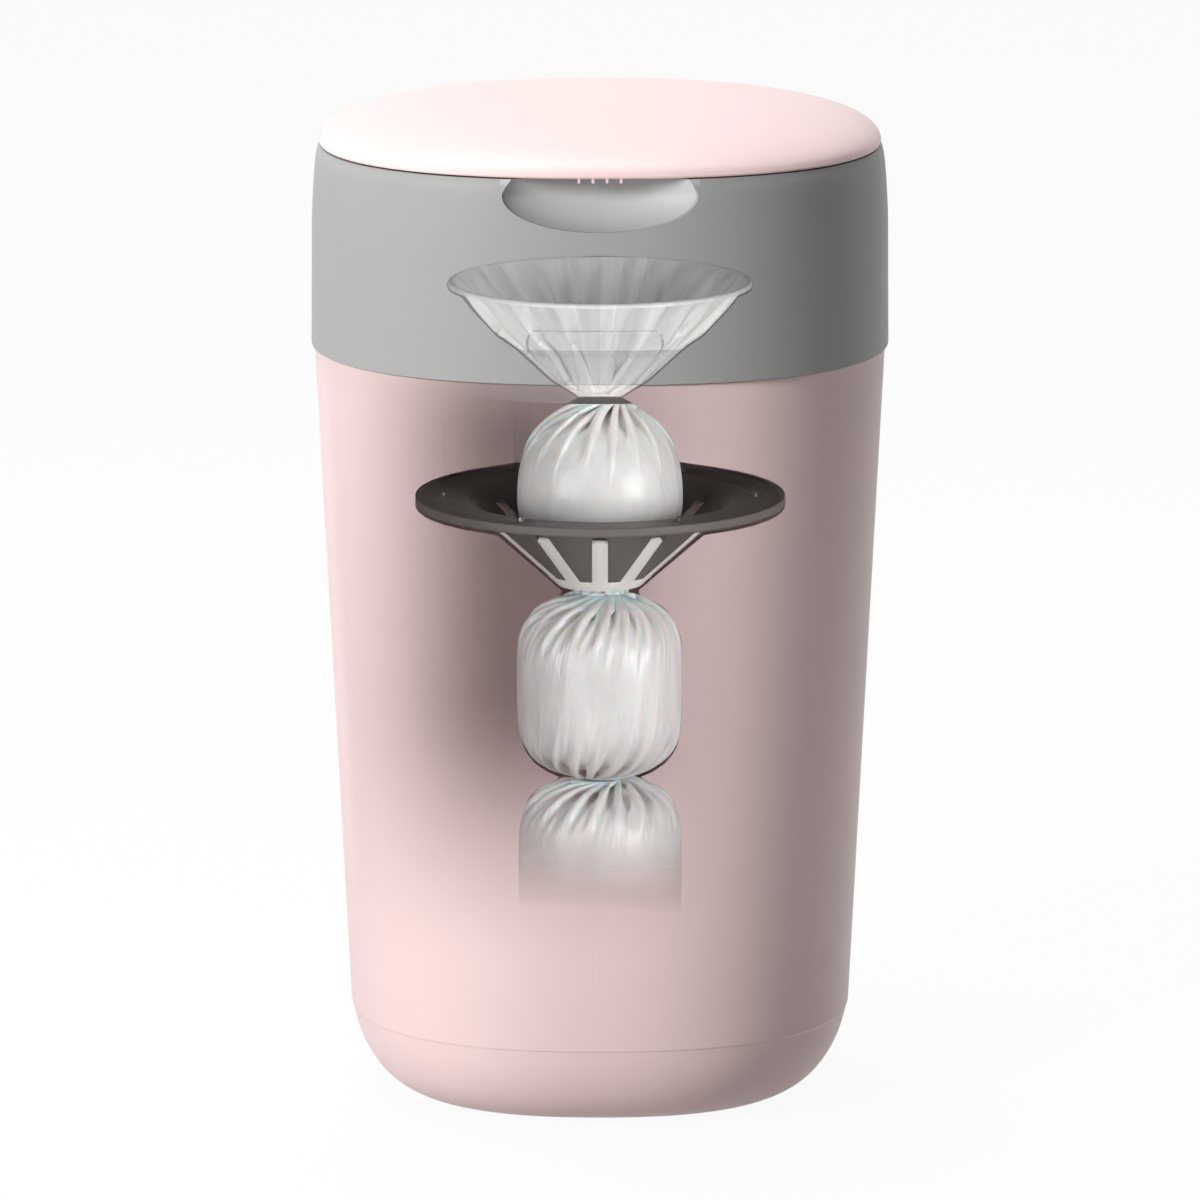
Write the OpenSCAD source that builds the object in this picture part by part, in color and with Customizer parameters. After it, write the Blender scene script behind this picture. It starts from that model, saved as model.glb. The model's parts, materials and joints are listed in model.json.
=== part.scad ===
// Nappy bin: a tapered tub, a lift-off hub with a hinged lid, a twist dial that turns a
// film cassette, and a claw that grips each wrapped parcel while the film is twisted.
// Millimetres. The origin is on the floor, under the middle of the bin. The front is -Y.

/* [Body] */
// Width and depth across the collar
body_w = 262; // [250:1:285]
// Squareness of every body section: 2 is a circle, larger is squarer
squareness = 2.4; // [2.1:0.1:2.8]
// Height of the tub up to the shoulder that the collar stands on
tub_h = 347; // [330:1:380]
// Wall of the tub
tub_wall = 2.6; // [2:0.1:3.4]
// How far the tub's face sits inside the collar's face
tub_step = 1.5; // [1:0.1:2]
// Draft of the tub's wall, in degrees
tub_draft = 2.8; // [2:0.1:3.5]
// Height of the crease where the wall turns in to the base
crease_h = 39.5; // [30:0.5:50]
// Width across the flat ring that the base stands on
foot_w = 164; // [150:1:172]
// Height of the neck that the collar slides over
neck_h = 15; // [10:1:18]
// Diameter of a foot pad
pad_d = 12; // [8:1:12]

/* [Collar and deck] */
// Height of the collar
collar_h = 91; // [88:1:104]
// Wall of the collar
collar_wall = 2.6; // [2:0.1:3.2]
// How much the collar draws in at its top shoulder
shoulder = 3.3; // [2.5:0.1:4]
// Depth of the deck below the collar's top edge
deck_drop = 14; // [13:0.5:18]
// Thickness of the deck
deck_t = 3; // [2:0.5:4]
// Width of the finger scoop
scoop_w = 91; // [80:1:96]
// Height of the finger scoop below the collar's top edge
scoop_h = 23; // [20:0.5:25]
// Depth of the finger scoop, front to back
scoop_depth = 19; // [14:0.5:20]

/* [Lid] */
// How far the lid's edge sits inside the collar's face
lid_inset = 3.4; // [3:0.1:4.4]
// Rise of the dome
lid_rise = 19.5; // [17:0.5:24]
// Wall of the lid
lid_wall = 2.4; // [2:0.1:3]
// Shape of the dome: larger is flatter on top
dome_power = 2.5; // [2:0.1:3]
// Thickness of the liner under the lid
liner_t = 2; // [1.5:0.5:2.5]

/* [Hinge] */
// Diameter of the hinge pin
pin_d = 4; // [3:0.2:4.4]
// Diameter of the hinge barrel
barrel_d = 8.4; // [8:0.2:9]
// Width of the lid's knuckle
knuckle_w = 40; // [30:1:50]
// Width of each hinge lug on the collar
lug_w = 10; // [8:1:14]

/* [Dial] */
// Bore that a nappy is pushed through
throat_d = 140; // [136:1:144]
// Diameter of the dial's flange
dial_d = 191; // [186:1:192]
// Thickness of the dial's flange
dial_t = 2.7; // [2:0.1:3.5]
// Outer diameter of the dial's skirt
skirt_d = 174; // [172:1:176]
// Wall of the throat and skirt
dial_wall = 2; // [1.6:0.1:2.4]
// Height of the two grips
grip_h = 7; // [5:0.5:8]
// Number of teeth on the ratchet ring
ratchet_teeth = 36; // [24:1:48]
// Travel of the cutter's button
cutter_travel = 6; // [4:0.5:6]
// Diameter of the cutter's button
button_d = 12; // [10:0.5:12.4]

/* [Cassette] */
// Depth from the deck down to the top of the cassette
throat_depth = 48; // [44:1:52]
// Height of the cassette
cassette_h = 42; // [38:1:46]
// Diameter of the cassette
cassette_d = 175; // [172:1:176]
// Width of the ring that the film is packed in, with its walls
film_bay = 20.5; // [19.5:0.5:22.5]
// Wall of the cassette
cassette_wall = 2; // [1.6:0.1:2.4]
// Thickness of the film as it is drawn
film_t = 0.6; // [0.4:0.1:0.8]

/* [Claw] */
// Diameter of the claw's flange
claw_d = 170; // [164:1:176]
// Depth of the claw's flange below the collar's lower edge
claw_drop = 74; // [60:1:85]
// Thickness of the flange
flange_t = 3.5; // [3:0.1:4.5]
// Wall of the petals
petal_t = 2.2; // [1.8:0.1:2.6]
// Inner edge of the flat part of the flange
flat_d = 132; // [128:1:134]
// Depth of the claw from flange to mouth
claw_depth = 41; // [36:1:46]
// Diameter of the mouth
mouth_d = 34; // [30:1:38]
// Number of slots between the petals
slots = 12; // [10:1:14]
// Width of a slot
slot_w = 7.6; // [6:0.2:8.4]
// Radius at which the slots start
slot_r = 56; // [52:1:57]
// Circle that the six legs and their screws stand on
leg_pcd = 144; // [142:1:147]
// Diameter of a leg
leg_d = 8; // [7:0.5:9]

/* [Film and parcels] */
// Diameter of a wrapped parcel
parcel_d = 78; // [70:1:84]
// Height of a wrapped parcel
parcel_h = 87; // [80:1:92]
// Diameter of the twisted film between parcels
twist_d = 16; // [12:1:20]
// Height of the first twist above the claw's flange
twist_rise = 46; // [42:1:48]

/* [Hidden] */

// Colours
pink = [0.95, 0.82, 0.82];
grey = [0.62, 0.62, 0.62];
dark_grey = [0.27, 0.26, 0.25];
white = [0.9, 0.9, 0.89];
steel = [0.72, 0.73, 0.75];
black = [0.12, 0.12, 0.12];

// Fits
run_gap = 0.3;     // between bodies that move on each other
slide_gap = 0.6;   // around the tub's neck and behind a lid edge
pin_gap = 0.05;    // radial, round a pin or a screw
seat_gap = 0.15;   // between two pieces that are moulded to mate
over = 1;          // how far a cutter runs past what it cuts
ring_steps = 64;   // points round a body section
fine = 96;

// Shared heights
top_z = tub_h + collar_h;
deck_top = top_z - deck_drop;
deck_z = deck_top - deck_t;
cassette_top = deck_top - throat_depth;
drum_floor = cassette_top - cassette_h;
claw_z = tub_h - claw_drop;
twist_z = claw_z + twist_rise;
lid_z = top_z + slide_gap;

// ---------------------------------------------------------------- shapes shared by parts

function arc(r, z, radius, from, to, n = 6) =
    [for (i = [0:n]) let (a = from + (to - from) * i / n)
        [r + radius * cos(a), z + radius * sin(a)]];

// Radius of the unit body section in direction t.
function section(t, n) = pow(pow(abs(cos(t)), n) + pow(abs(sin(t)), n), -1 / n);

function outline(half_w, n = squareness, steps = ring_steps) =
    [for (i = [0:steps - 1]) let (t = 360 * i / steps)
        half_w * section(t, n) * [cos(t), sin(t)]];

// Turns a closed [half width, height] profile, listed anticlockwise, into a solid whose
// sections are body outlines. A point on the axis becomes a pole.
module section_lathe(profile, n = squareness, steps = ring_steps, depth = 1) {
    last = len(profile) - 1;
    poles = profile[0][0] == 0;
    function start(k) = k == 0 ? 0 : start(k - 1) + (profile[k - 1][0] == 0 ? 1 : steps);
    starts = [for (k = [0:last]) start(k)];
    function at(k, j) = starts[k] + (profile[k][0] == 0 ? 0 : j % steps);
    points = [for (p = profile, j = [0:(p[0] == 0 ? 0 : steps - 1)])
        let (t = 360 * j / steps, r = p[0] * section(t, n))
            [r * cos(t), r * sin(t) * depth, p[1]]];
    faces = [for (k = [0:poles ? last - 1 : last], j = [0:steps - 1])
        let (m = (k + 1) % (last + 1))
            profile[k][0] == 0 ? [at(k, 0), at(m, j), at(m, j + 1)] :
            profile[m][0] == 0 ? [at(k, j), at(m, 0), at(k, j + 1)] :
            [at(k, j), at(m, j), at(m, j + 1), at(k, j + 1)]];
    polyhedron(points, faces, convexity = 6);
}

function unit(v) = v / norm(v);
function turn_left(v) = [-v[1], v[0]];

// Both sides of a polyline, t apart, as one closed outline.
function thick_path(p, t) =
    let (last = len(p) - 1,
         side = [for (i = [0:last])
             turn_left(unit(p[min(i + 1, last)] - p[max(i - 1, 0)])) * t / 2])
    concat([for (i = [0:last]) p[i] + side[i]], [for (i = [last:-1:0]) p[i] - side[i]]);

module tube(outer, inner, z0, z1) {
    translate([0, 0, z0])
        difference() {
            cylinder(r = outer, h = z1 - z0, $fn = fine);
            translate([0, 0, -over]) cylinder(r = inner, h = z1 - z0 + 2 * over, $fn = fine);
        }
}

module around(n, radius, first = 0) {
    for (i = [0:n - 1])
        rotate([0, 0, first + 360 * i / n]) translate([radius, 0, 0]) children();
}

// A pan-head screw with its seat at z = 0 and its shank pointing up.
screw_r = 1.45;
screw_head_r = 3.1;
screw_head_h = 2.1;
deck_screw_l = 11;
drum_screw_l = 9.5;
claw_screw_l = 12;
lid_screw_l = 9;
module screw(length) {
    difference() {
        translate([0, 0, -screw_head_h]) cylinder(r = screw_head_r, h = screw_head_h, $fn = 32);
        for (a = [0, 90])
            rotate([0, 0, a])
                translate([-2, -0.4, -screw_head_h - over]) cube([4, 0.8, over + 1.1]);
    }
    cylinder(r = screw_r, h = length, $fn = 32);
}

// ---------------------------------------------------------------- tub

collar_r = body_w / 2;
collar_flare = 0.5;                       // how much wider the collar is at its lower edge
collar_in = collar_r + collar_flare - collar_wall;
tub_top_r = collar_r + collar_flare - tub_step;
crease_r = tub_top_r - (tub_h - crease_h) * tan(tub_draft);
neck_r = collar_in - slide_gap;
neck_wall = 2.4;
base_run = 50 / 39.5 * crease_h;          // the base curve would reach upright at this height
pad_h = 1.6;
pad_sunk = 0.6;
stand = pad_h - pad_sunk;                 // the tub's own base stands this far off the floor
floor_rise = 2;                           // hollow under the middle of the base
foot_ring = 14;                           // width of the flat ring

// The base curve, from the foot ring up to the crease, moved in by a wall.
function base_curve(inset, n) =
    let (foot_r = foot_w / 2, top_a = acos(1 - (crease_h - stand) / base_run),
         run = (crease_r - foot_r) / sin(top_a))
    [for (i = [0:n]) let (a = top_a * i / n)
        [foot_r + (run - inset) * sin(a),
         stand + inset + (base_run - inset) * (1 - cos(a))]];

module tub() {
    foot_r = foot_w / 2;
    floor_z = stand + floor_rise + tub_wall;
    inner_top = tub_h - 8;
    inner = base_curve(tub_wall, 5);
    color(pink)
        difference() {
            section_lathe(concat(
                [[0, stand + floor_rise], [foot_r - foot_ring, stand + floor_rise],
                 [foot_r - foot_ring + 1, stand]],
                base_curve(0, 8),
                [[tub_top_r, tub_h], [neck_r, tub_h], [neck_r, tub_h + neck_h - 1],
                 [neck_r - 0.8, tub_h + neck_h], [neck_r - neck_wall, tub_h + neck_h],
                 [neck_r - neck_wall, tub_h - 4],
                 [tub_top_r - tub_wall - (tub_h - inner_top) * tan(tub_draft), inner_top]],
                [for (i = [len(inner) - 1:-1:2]) inner[i]],
                [[foot_r, floor_z], [0, floor_z]]));
            foot_positions() translate([0, 0, -over]) cylinder(d = pad_d, h = over + pad_h, $fn = 48);
        }
}

module foot_positions() {
    around(4, (foot_w / 2 - foot_ring / 2) * section(45, squareness), 45) children();
}

module foot_pads() {
    color(black) foot_positions() cylinder(d = pad_d, h = pad_h, $fn = 48);
}

// ---------------------------------------------------------------- collar

collar_z = tub_h + run_gap;
seal_t = 2.3;
seal_z = tub_h + neck_h + run_gap;
seal_ledge_r = neck_r - neck_wall - 5;
ledge_t = 2.4;
deck_seat_r = collar_r - 5;               // inner face of the collar round the deck
ledge_r = deck_seat_r - 8;
top_flat = 1.2;

collar_outside = [
    [collar_r + collar_flare, collar_z],
    [collar_r, collar_z + 0.64 * (top_z - collar_z)],
    [collar_r - 0.18 * shoulder, top_z - 21],
    [collar_r - 0.42 * shoulder, top_z - 10],
    [collar_r - 0.66 * shoulder, top_z - 4],
    [collar_r - 0.88 * shoulder, top_z - 1.2],
    [deck_seat_r + top_flat, top_z]];

// The scoop's hollow: a bowl with short upright sides, grown outwards by a wall.
module scoop_bowl(grow) {
    half = scoop_w / 2 + grow;
    deep = (scoop_depth + grow) / half;
    rim_z = top_z - 6.5;
    drop = scoop_h - 6.5 + grow;
    translate([0, -collar_r, 0])
        section_lathe(concat(
            [for (i = [0:6]) let (a = 90 * i / 6) [half * sin(a), rim_z - drop * cos(a)]],
            [[half * 0.95, top_z - 1.5], [half * 0.9, top_z + over], [0, top_z + over]]),
            n = 2, steps = 40, depth = deep);
}

module hinge_axis() {
    translate([0, hinge_y, hinge_z]) rotate([0, 90, 0]) children();
}

hinge_y = collar_r - 5;
hinge_z = lid_z + barrel_d / 2 + 0.4;
lug_drop = 20;                            // the lugs fair into the collar this far down

module collar_lugs() {
    for (side = [-1, 1])
        translate([side * (knuckle_w / 2 + run_gap + lug_w / 2), 0, 0]) {
            hinge_axis() cylinder(d = barrel_d, h = lug_w, center = true, $fn = 48);
            translate([-lug_w / 2, hinge_y, hinge_z])
                rotate([90, 0, 90])
                    linear_extrude(lug_w)
                        polygon([[barrel_d / 2, 0], [-barrel_d / 2, 0],
                            [-barrel_d / 2, top_z - 3 - hinge_z], [0, top_z - 3 - hinge_z],
                            [collar_r - hinge_y - 1, top_z - lug_drop - hinge_z],
                            [collar_r - hinge_y + 0.4, top_z - lug_drop - hinge_z]]);
        }
}

module collar() {
    under_ledge = collar_r - collar_wall - 0.3;
    color(grey)
        difference() {
            union() {
                difference() {
                    section_lathe(concat(collar_outside,
                        [[deck_seat_r, top_z], [deck_seat_r, deck_z], [ledge_r, deck_z],
                         [ledge_r, deck_z - ledge_t], [under_ledge, deck_z - ledge_t],
                         [collar_in - 0.2, seal_z + seal_t + ledge_t],
                         [seal_ledge_r, seal_z + seal_t + ledge_t],
                         [seal_ledge_r, seal_z + seal_t], [collar_in, seal_z + seal_t],
                         [collar_in, collar_z]]));
                    scoop_bowl(0);
                }
                intersection() {
                    difference() {
                        scoop_bowl(2);
                        scoop_bowl(0);
                        translate([-scoop_w, -body_w, deck_top + 9]) cube([2 * scoop_w, body_w, 20]);
                    }
                    section_lathe(concat([[0, collar_z]], collar_outside, [[0, top_z]]));
                }
                collar_lugs();
                deck_screw_positions()
                    translate([0, 0, deck_z - deck_screw_l - 2])
                        cylinder(r = 4.5, h = deck_screw_l + 2, $fn = 40);
            }
            hinge_axis() cylinder(d = pin_d + 2 * pin_gap, h = body_w, center = true, $fn = 48);
            deck_screw_positions()
                translate([0, 0, deck_z - deck_screw_l])
                    cylinder(r = screw_r + pin_gap, h = deck_screw_l + over, $fn = 32);
        }
}

module deck_screw_positions() {
    around(4, ledge_r * section(45, squareness) + 2.5, 45) children();
}

module rim_seal() {
    color(black)
        translate([0, 0, seal_z])
            linear_extrude(seal_t)
                difference() {
                    polygon(outline(neck_r - 0.3));
                    polygon(outline(seal_ledge_r + 0.5));
                }
}

// ---------------------------------------------------------------- deck and drum

bay_r = skirt_d / 2 + 6;                  // bore round the dial's skirt and ratchet ring
bay_low_r = cassette_d / 2 + 1;           // bore round the cassette
cassette_hole_d = cassette_d - 2 * film_bay;
drum_wall = 2;
rim_drop = 8;                             // the deck's round rim reaches this far down
flange_z = deck_z - rim_drop;
flange_w = 11;
drum_screw_r = bay_r + 6.5;
step_z = cassette_top + 7;

module deck_opening() {
    cylinder(r = bay_r + 0.5, h = 4 * rim_drop, center = true, $fn = fine);
}

module top_deck() {
    color(grey)
        difference() {
            union() {
                translate([0, 0, deck_z])
                    linear_extrude(deck_t)
                        difference() {
                            polygon(outline(deck_seat_r - run_gap));
                            translate([0, -collar_r])
                                polygon([for (p = outline(1, 2, 40))
                                    [p[0] * (scoop_w / 2 + 2 + run_gap),
                                     p[1] * (scoop_depth + 2 + run_gap)]]);
                        }
                tube(bay_r + drum_wall, bay_r, flange_z, deck_z + over);
                around(6, drum_screw_r, 30)
                    translate([0, 0, flange_z]) cylinder(r = 3.6, h = rim_drop + over, $fn = 40);
            }
            translate([0, 0, deck_z]) deck_opening();
            around(6, drum_screw_r, 30)
                translate([0, 0, flange_z - over])
                    cylinder(r = screw_r + pin_gap, h = rim_drop + over + 1, $fn = 32);
            deck_screw_positions() {
                translate([0, 0, deck_z - over])
                    cylinder(r = screw_r + 0.35, h = deck_t + 2 * over, $fn = 32);
                translate([0, 0, deck_top - 1.2]) cylinder(r = screw_head_r + 0.3, h = 2, $fn = 32);
            }
        }
}

module deck_screws() {
    color(steel)
        deck_screw_positions()
            translate([0, 0, deck_top - 1.2]) rotate([180, 0, 0]) screw(deck_screw_l);
}

module cassette_drum() {
    leg_bore = claw_screw_l + 2;
    color(grey)
        difference() {
            union() {
                rotate_extrude($fn = fine)
                    polygon([
                        [bay_low_r - 22, drum_floor - 2.5], [bay_low_r + drum_wall, drum_floor - 2.5],
                        [bay_low_r + drum_wall, step_z - drum_wall], [bay_r + drum_wall, step_z],
                        [bay_r + drum_wall, flange_z - 2.5], [bay_r + flange_w, flange_z - 2.5],
                        [bay_r + flange_w, flange_z], [bay_r, flange_z], [bay_r, step_z + drum_wall],
                        [bay_low_r, step_z], [bay_low_r, drum_floor],
                        [bay_low_r - 22, drum_floor]]);
                around(6, leg_pcd / 2)
                    translate([0, 0, claw_z])
                        cylinder(d = leg_d, h = drum_floor - 1 - claw_z, $fn = 40);
            }
            around(6, leg_pcd / 2)
                translate([0, 0, claw_z - over])
                    cylinder(r = screw_r + pin_gap, h = leg_bore + over, $fn = 32);
            around(6, drum_screw_r, 30)
                translate([0, 0, flange_z - 2.5 - over])
                    cylinder(r = screw_r + 0.35, h = 2.5 + 2 * over, $fn = 32);
        }
}

module drum_screws() {
    color(steel) around(6, drum_screw_r, 30) translate([0, 0, flange_z - 2.5]) screw(drum_screw_l);
}

// ---------------------------------------------------------------- ratchet

ratchet_z = deck_top - 26;
ratchet_h = 7;
tooth_root_r = skirt_d / 2 + 1.5;
tooth_tip_r = skirt_d / 2 + 4;

module ratchet_ring() {
    step = 360 / ratchet_teeth;
    color(white)
        translate([0, 0, ratchet_z])
            linear_extrude(ratchet_h)
                difference() {
                    polygon([for (i = [0:ratchet_teeth - 1], edge = [0, 1])
                        let (r = edge == 0 ? tooth_tip_r : tooth_root_r,
                             a = step * (i + edge * 0.12))
                            [r * cos(a), r * sin(a)]]);
                    circle(d = skirt_d, $fn = 4 * fine);
                }
}

// A leaf that is clipped to the drum at one end and clicks over the teeth at the other.
module ratchet_pawl() {
    leaf_r = bay_r - 0.4;
    leaf_t = 0.8;
    foot = 8;                             // degrees of leaf that the clip covers
    sweep = 34;
    tip = 3;
    color(steel)
        translate([0, 0, ratchet_z + 1])
            rotate([0, 0, 200])
                linear_extrude(ratchet_h - 2)
                    polygon(concat(
                        arc(0, 0, bay_r, 0, foot), arc(0, 0, leaf_r, foot, sweep, 12),
                        arc(0, 0, tooth_tip_r + run_gap, sweep, sweep - tip, 2),
                        arc(0, 0, leaf_r - leaf_t, sweep - tip, 0, 14)));
}

// ---------------------------------------------------------------- claw

bend_r = 9;
petal_end = [24.3, -claw_depth + 6];      // radius and depth where the petals stop
petal_bend = arc(flat_d / 2, -petal_t / 2 - bend_r, bend_r, 90, 135, 4);
petal_top = petal_bend[len(petal_bend) - 1];
petal_dir = unit(petal_end - petal_top);
petal_side = turn_left(petal_dir);
web_top_r = slot_r - 6;

function petal_z(r) = lookup(r, [petal_end, petal_top]);
function petal_r(z) = lookup(z, [[petal_end[1], petal_end[0]], [petal_top[1], petal_top[0]]]);

// Slot or rib positions as upright blocks, as wide as asked.
module slot_blocks(width, from_r, to_r) {
    around(slots, 0)
        translate([0, 0, -claw_depth - 2 * over])
            linear_extrude(claw_depth + 4 * over) {
                translate([from_r, -width / 2]) square([to_r - width / 2 - from_r, width]);
                translate([to_r - width / 2, 0]) circle(d = width, $fn = 32);
            }
}

module claw_petals() {
    lip_w = 2.5;
    lip_h = 0.8;
    color(dark_grey)
        translate([0, 0, claw_z])
            difference() {
                union() {
                    rotate_extrude($fn = fine)
                        polygon(thick_path(concat([[flat_d / 2 + 3, -petal_t / 2]], petal_bend,
                            [petal_end]), petal_t));
                    rotate_extrude($fn = fine)
                        polygon([[flat_d / 2, -petal_t], [flat_d / 2 + 2, -flange_t],
                            [claw_d / 2 - 0.8, -flange_t], [claw_d / 2, -flange_t + 0.8],
                            [claw_d / 2, lip_h - 0.4], [claw_d / 2 - 0.4, lip_h],
                            [claw_d / 2 - lip_w + 0.6, lip_h], [claw_d / 2 - lip_w, 0],
                            [flat_d / 2, 0]]);
                }
                slot_blocks(slot_w, mouth_d / 2 - 4, slot_r);
                around(6, leg_pcd / 2)
                    translate([0, 0, -flange_t - over])
                        cylinder(r = screw_r + 0.35, h = flange_t + 2 * over, $fn = 32);
            }
}

module claw_web() {
    lip = petal_end + petal_dir * seat_gap;
    rib = [[web_top_r, petal_z(web_top_r)], petal_end + petal_dir * 1.2];
    rim_r = mouth_d / 2;
    color(white)
        translate([0, 0, claw_z]) {
            intersection() {
                rotate_extrude($fn = fine) polygon(thick_path(rib, petal_t));
                slot_blocks(slot_w - 2 * seat_gap, mouth_d / 2 - 4, slot_r - 2);
            }
            rotate_extrude($fn = fine)
                polygon([
                    lip + petal_side * petal_t / 2, lip - petal_side * petal_t / 2,
                    [rim_r + 1.4, -claw_depth + 3.6], [rim_r, -claw_depth + 1.6],
                    [rim_r, -claw_depth], [rim_r + 2.4, -claw_depth]]);
        }
}

module claw_screws() {
    color(steel) around(6, leg_pcd / 2) translate([0, 0, claw_z - flange_t]) screw(claw_screw_l);
}

// ---------------------------------------------------------------- film and parcels

// Radius of a parcel s mm from one of its twisted ends.
function parcel_r(s, cap) =
    let (neck = twist_d / 2, full = parcel_d / 2, u = min(max(s, 0) / cap, 1))
        neck + (full - neck) * pow(1 - pow(1 - u, 2.4), 1 / 2.4);

module parcel(top, bottom, profile_r) {
    steps = 24;
    color(white)
        rotate_extrude($fn = fine)
            polygon(concat([[0, top]],
                [for (i = [0:steps]) let (z = top + (bottom - top) * i / steps) [profile_r(z), z]],
                [[0, bottom]]));
}

mouth_z = claw_z - claw_depth;
parcel_2_top = mouth_z - 4;
parcel_3_top = parcel_2_top - parcel_h;
cap_h = 25;
bowl_clear = petal_t / 2 / sin(41) + 0.6;

// The first parcel sits in the claw, so its lower half follows the petals.
module wrapped_parcel_1() {
    bowl_top = claw_z + petal_top[1];
    parcel(twist_z, parcel_2_top, function (z)
        z > bowl_top ? parcel_r(twist_z - z, cap_h) :
        z > claw_z + petal_end[1] ? min(parcel_r(twist_z - z, cap_h), petal_r(z - claw_z) - bowl_clear) :
        twist_d / 2);
}

module wrapped_parcel_2() {
    bottom = parcel_3_top;
    parcel(parcel_2_top, bottom, function (z)
        min(parcel_r(parcel_2_top - z, cap_h), parcel_r(z - bottom, cap_h)));
}

module wrapped_parcel_3() {
    bottom = parcel_3_top - parcel_h;
    parcel(parcel_3_top, bottom, function (z)
        min(parcel_r(parcel_3_top - z, cap_h), parcel_r(z - bottom, cap_h)));
}

module film_funnel() {
    wall_r = cassette_hole_d / 2 + cassette_wall / 2;
    rim_z = cassette_top - 2.8;
    drop = rim_z - twist_z - 2 * run_gap;
    // Shares of the drop and the radius at which the funnel's sides bend.
    sides = [[0.27, 0.87], [0.55, 0.56], [0.84, 0.32]];
    color(white)
        rotate_extrude($fn = fine)
            polygon(thick_path(concat(
                arc(wall_r, rim_z - 1.9, 1.9, 0, 150, 6),
                [for (s = sides) [wall_r * s[1], rim_z - drop * s[0]]],
                [[twist_d / 2 + 1, twist_z + 2 * run_gap]]), film_t));
}

// ---------------------------------------------------------------- cassette

module cassette_tub() {
    bottom = drum_floor + run_gap;
    out_r = cassette_d / 2;
    hole_r = cassette_hole_d / 2;
    color(white)
        rotate_extrude($fn = fine)
            polygon([
                [hole_r, bottom], [out_r, bottom], [out_r, cassette_top],
                [out_r - cassette_wall, cassette_top],
                [out_r - cassette_wall, bottom + cassette_wall],
                [hole_r + cassette_wall, bottom + cassette_wall],
                [hole_r + cassette_wall, cassette_top - 5.2], [hole_r, cassette_top - 5.2]]);
}

module cassette_cover() {
    color(white)
        tube(cassette_d / 2, cassette_hole_d / 2 + cassette_wall + 2, cassette_top, cassette_top + 2);
}

module film_pack() {
    color(white)
        tube(cassette_d / 2 - cassette_wall - 1.5, cassette_hole_d / 2 + cassette_wall + 0.4,
            drum_floor + run_gap + cassette_wall, cassette_top - 6.4);
}

// ---------------------------------------------------------------- dial and cutter

dial_z = deck_top + run_gap;
dial_top = dial_z + dial_t;
throat_r = throat_d / 2;
tower_r = 7;
tower_bore = 4.6;
tower_y = throat_r - 6.4;
tower_top = dial_top - 2.5;
tower_depth = 28;
tower_floor = tower_top - tower_depth;
stem_r = 2;
button_h = 5;
button_z = tower_top + cutter_travel + 0.5;
stem_end = tower_floor - tower_depth / 4;
blade_tip = stem_end - 8;

module twist_dial() {
    skirt_r = skirt_d / 2;
    dial_r = dial_d / 2;
    corner = 3;
    color(white)
        difference() {
            union() {
                rotate_extrude($fn = fine)
                    polygon(concat(
                        [[throat_r, cassette_top + 3.6], [throat_r + dial_wall, cassette_top + 3.6],
                         [throat_r + dial_wall, dial_z], [skirt_r - dial_wall, dial_z],
                         [skirt_r - dial_wall, cassette_top + 2], [skirt_r, cassette_top + 2],
                         [skirt_r, dial_z], [dial_r, dial_z], [dial_r, dial_top - 0.8],
                         [dial_r - 0.8, dial_top]],
                        arc(throat_r + corner, dial_top - corner, corner, 90, 180, 4)));
                intersection() {
                    union() {
                        translate([0, tower_y, cassette_top + 4])
                            cylinder(r = tower_r, h = tower_top - cassette_top - 4, $fn = 48);
                        translate([-tower_r, tower_y, cassette_top + 4])
                            cube([2 * tower_r, 10, tower_top - cassette_top - 4]);
                    }
                    translate([0, 0, cassette_top])
                        cylinder(r = throat_r + 1, h = throat_depth + 20, $fn = fine);
                }
            }
            translate([0, tower_y, tower_floor]) cylinder(r = tower_bore, h = 60, $fn = 48);
            translate([0, tower_y, cassette_top]) {
                cylinder(r = tower_bore, h = tower_floor - 3 - cassette_top, $fn = 48);
                cylinder(r = stem_r + 0.3, h = 60, $fn = 32);
            }
        }
}

module dial_grips() {
    inner_r = throat_r + 9;
    width = 11;
    corner = 3.2;
    for (side = [0, 180])
        color(dark_grey)
            rotate([0, 0, side - 29])
                rotate_extrude(angle = 58, $fn = fine)
                    translate([0, dial_top])
                        polygon(concat([[inner_r, 0], [inner_r + width, 0]],
                            arc(inner_r + width - corner, grip_h - corner, corner, 0, 90, 4),
                            arc(inner_r + corner, grip_h - corner, corner, 90, 180, 4)));
}

module cutter_button() {
    color(dark_grey)
        translate([0, tower_y, 0])
            rotate_extrude($fn = fine)
                polygon(concat(
                    [[0, stem_end], [stem_r, stem_end], [stem_r, button_z],
                     [button_d / 2, button_z]],
                    arc(button_d / 2 - 1.5, button_z + button_h - 1.5, 1.5, 0, 90, 4),
                    [[0, button_z + button_h]]));
}

module cutter_blade() {
    half = 2.9;
    color(steel)
        translate([0, tower_y + 0.3, 0])
            rotate([90, 0, 0])
                linear_extrude(0.6)
                    polygon([[-half, stem_end], [half, stem_end], [half, blade_tip + 4],
                        [0, blade_tip], [-half, blade_tip + 4]]);
}

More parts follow.
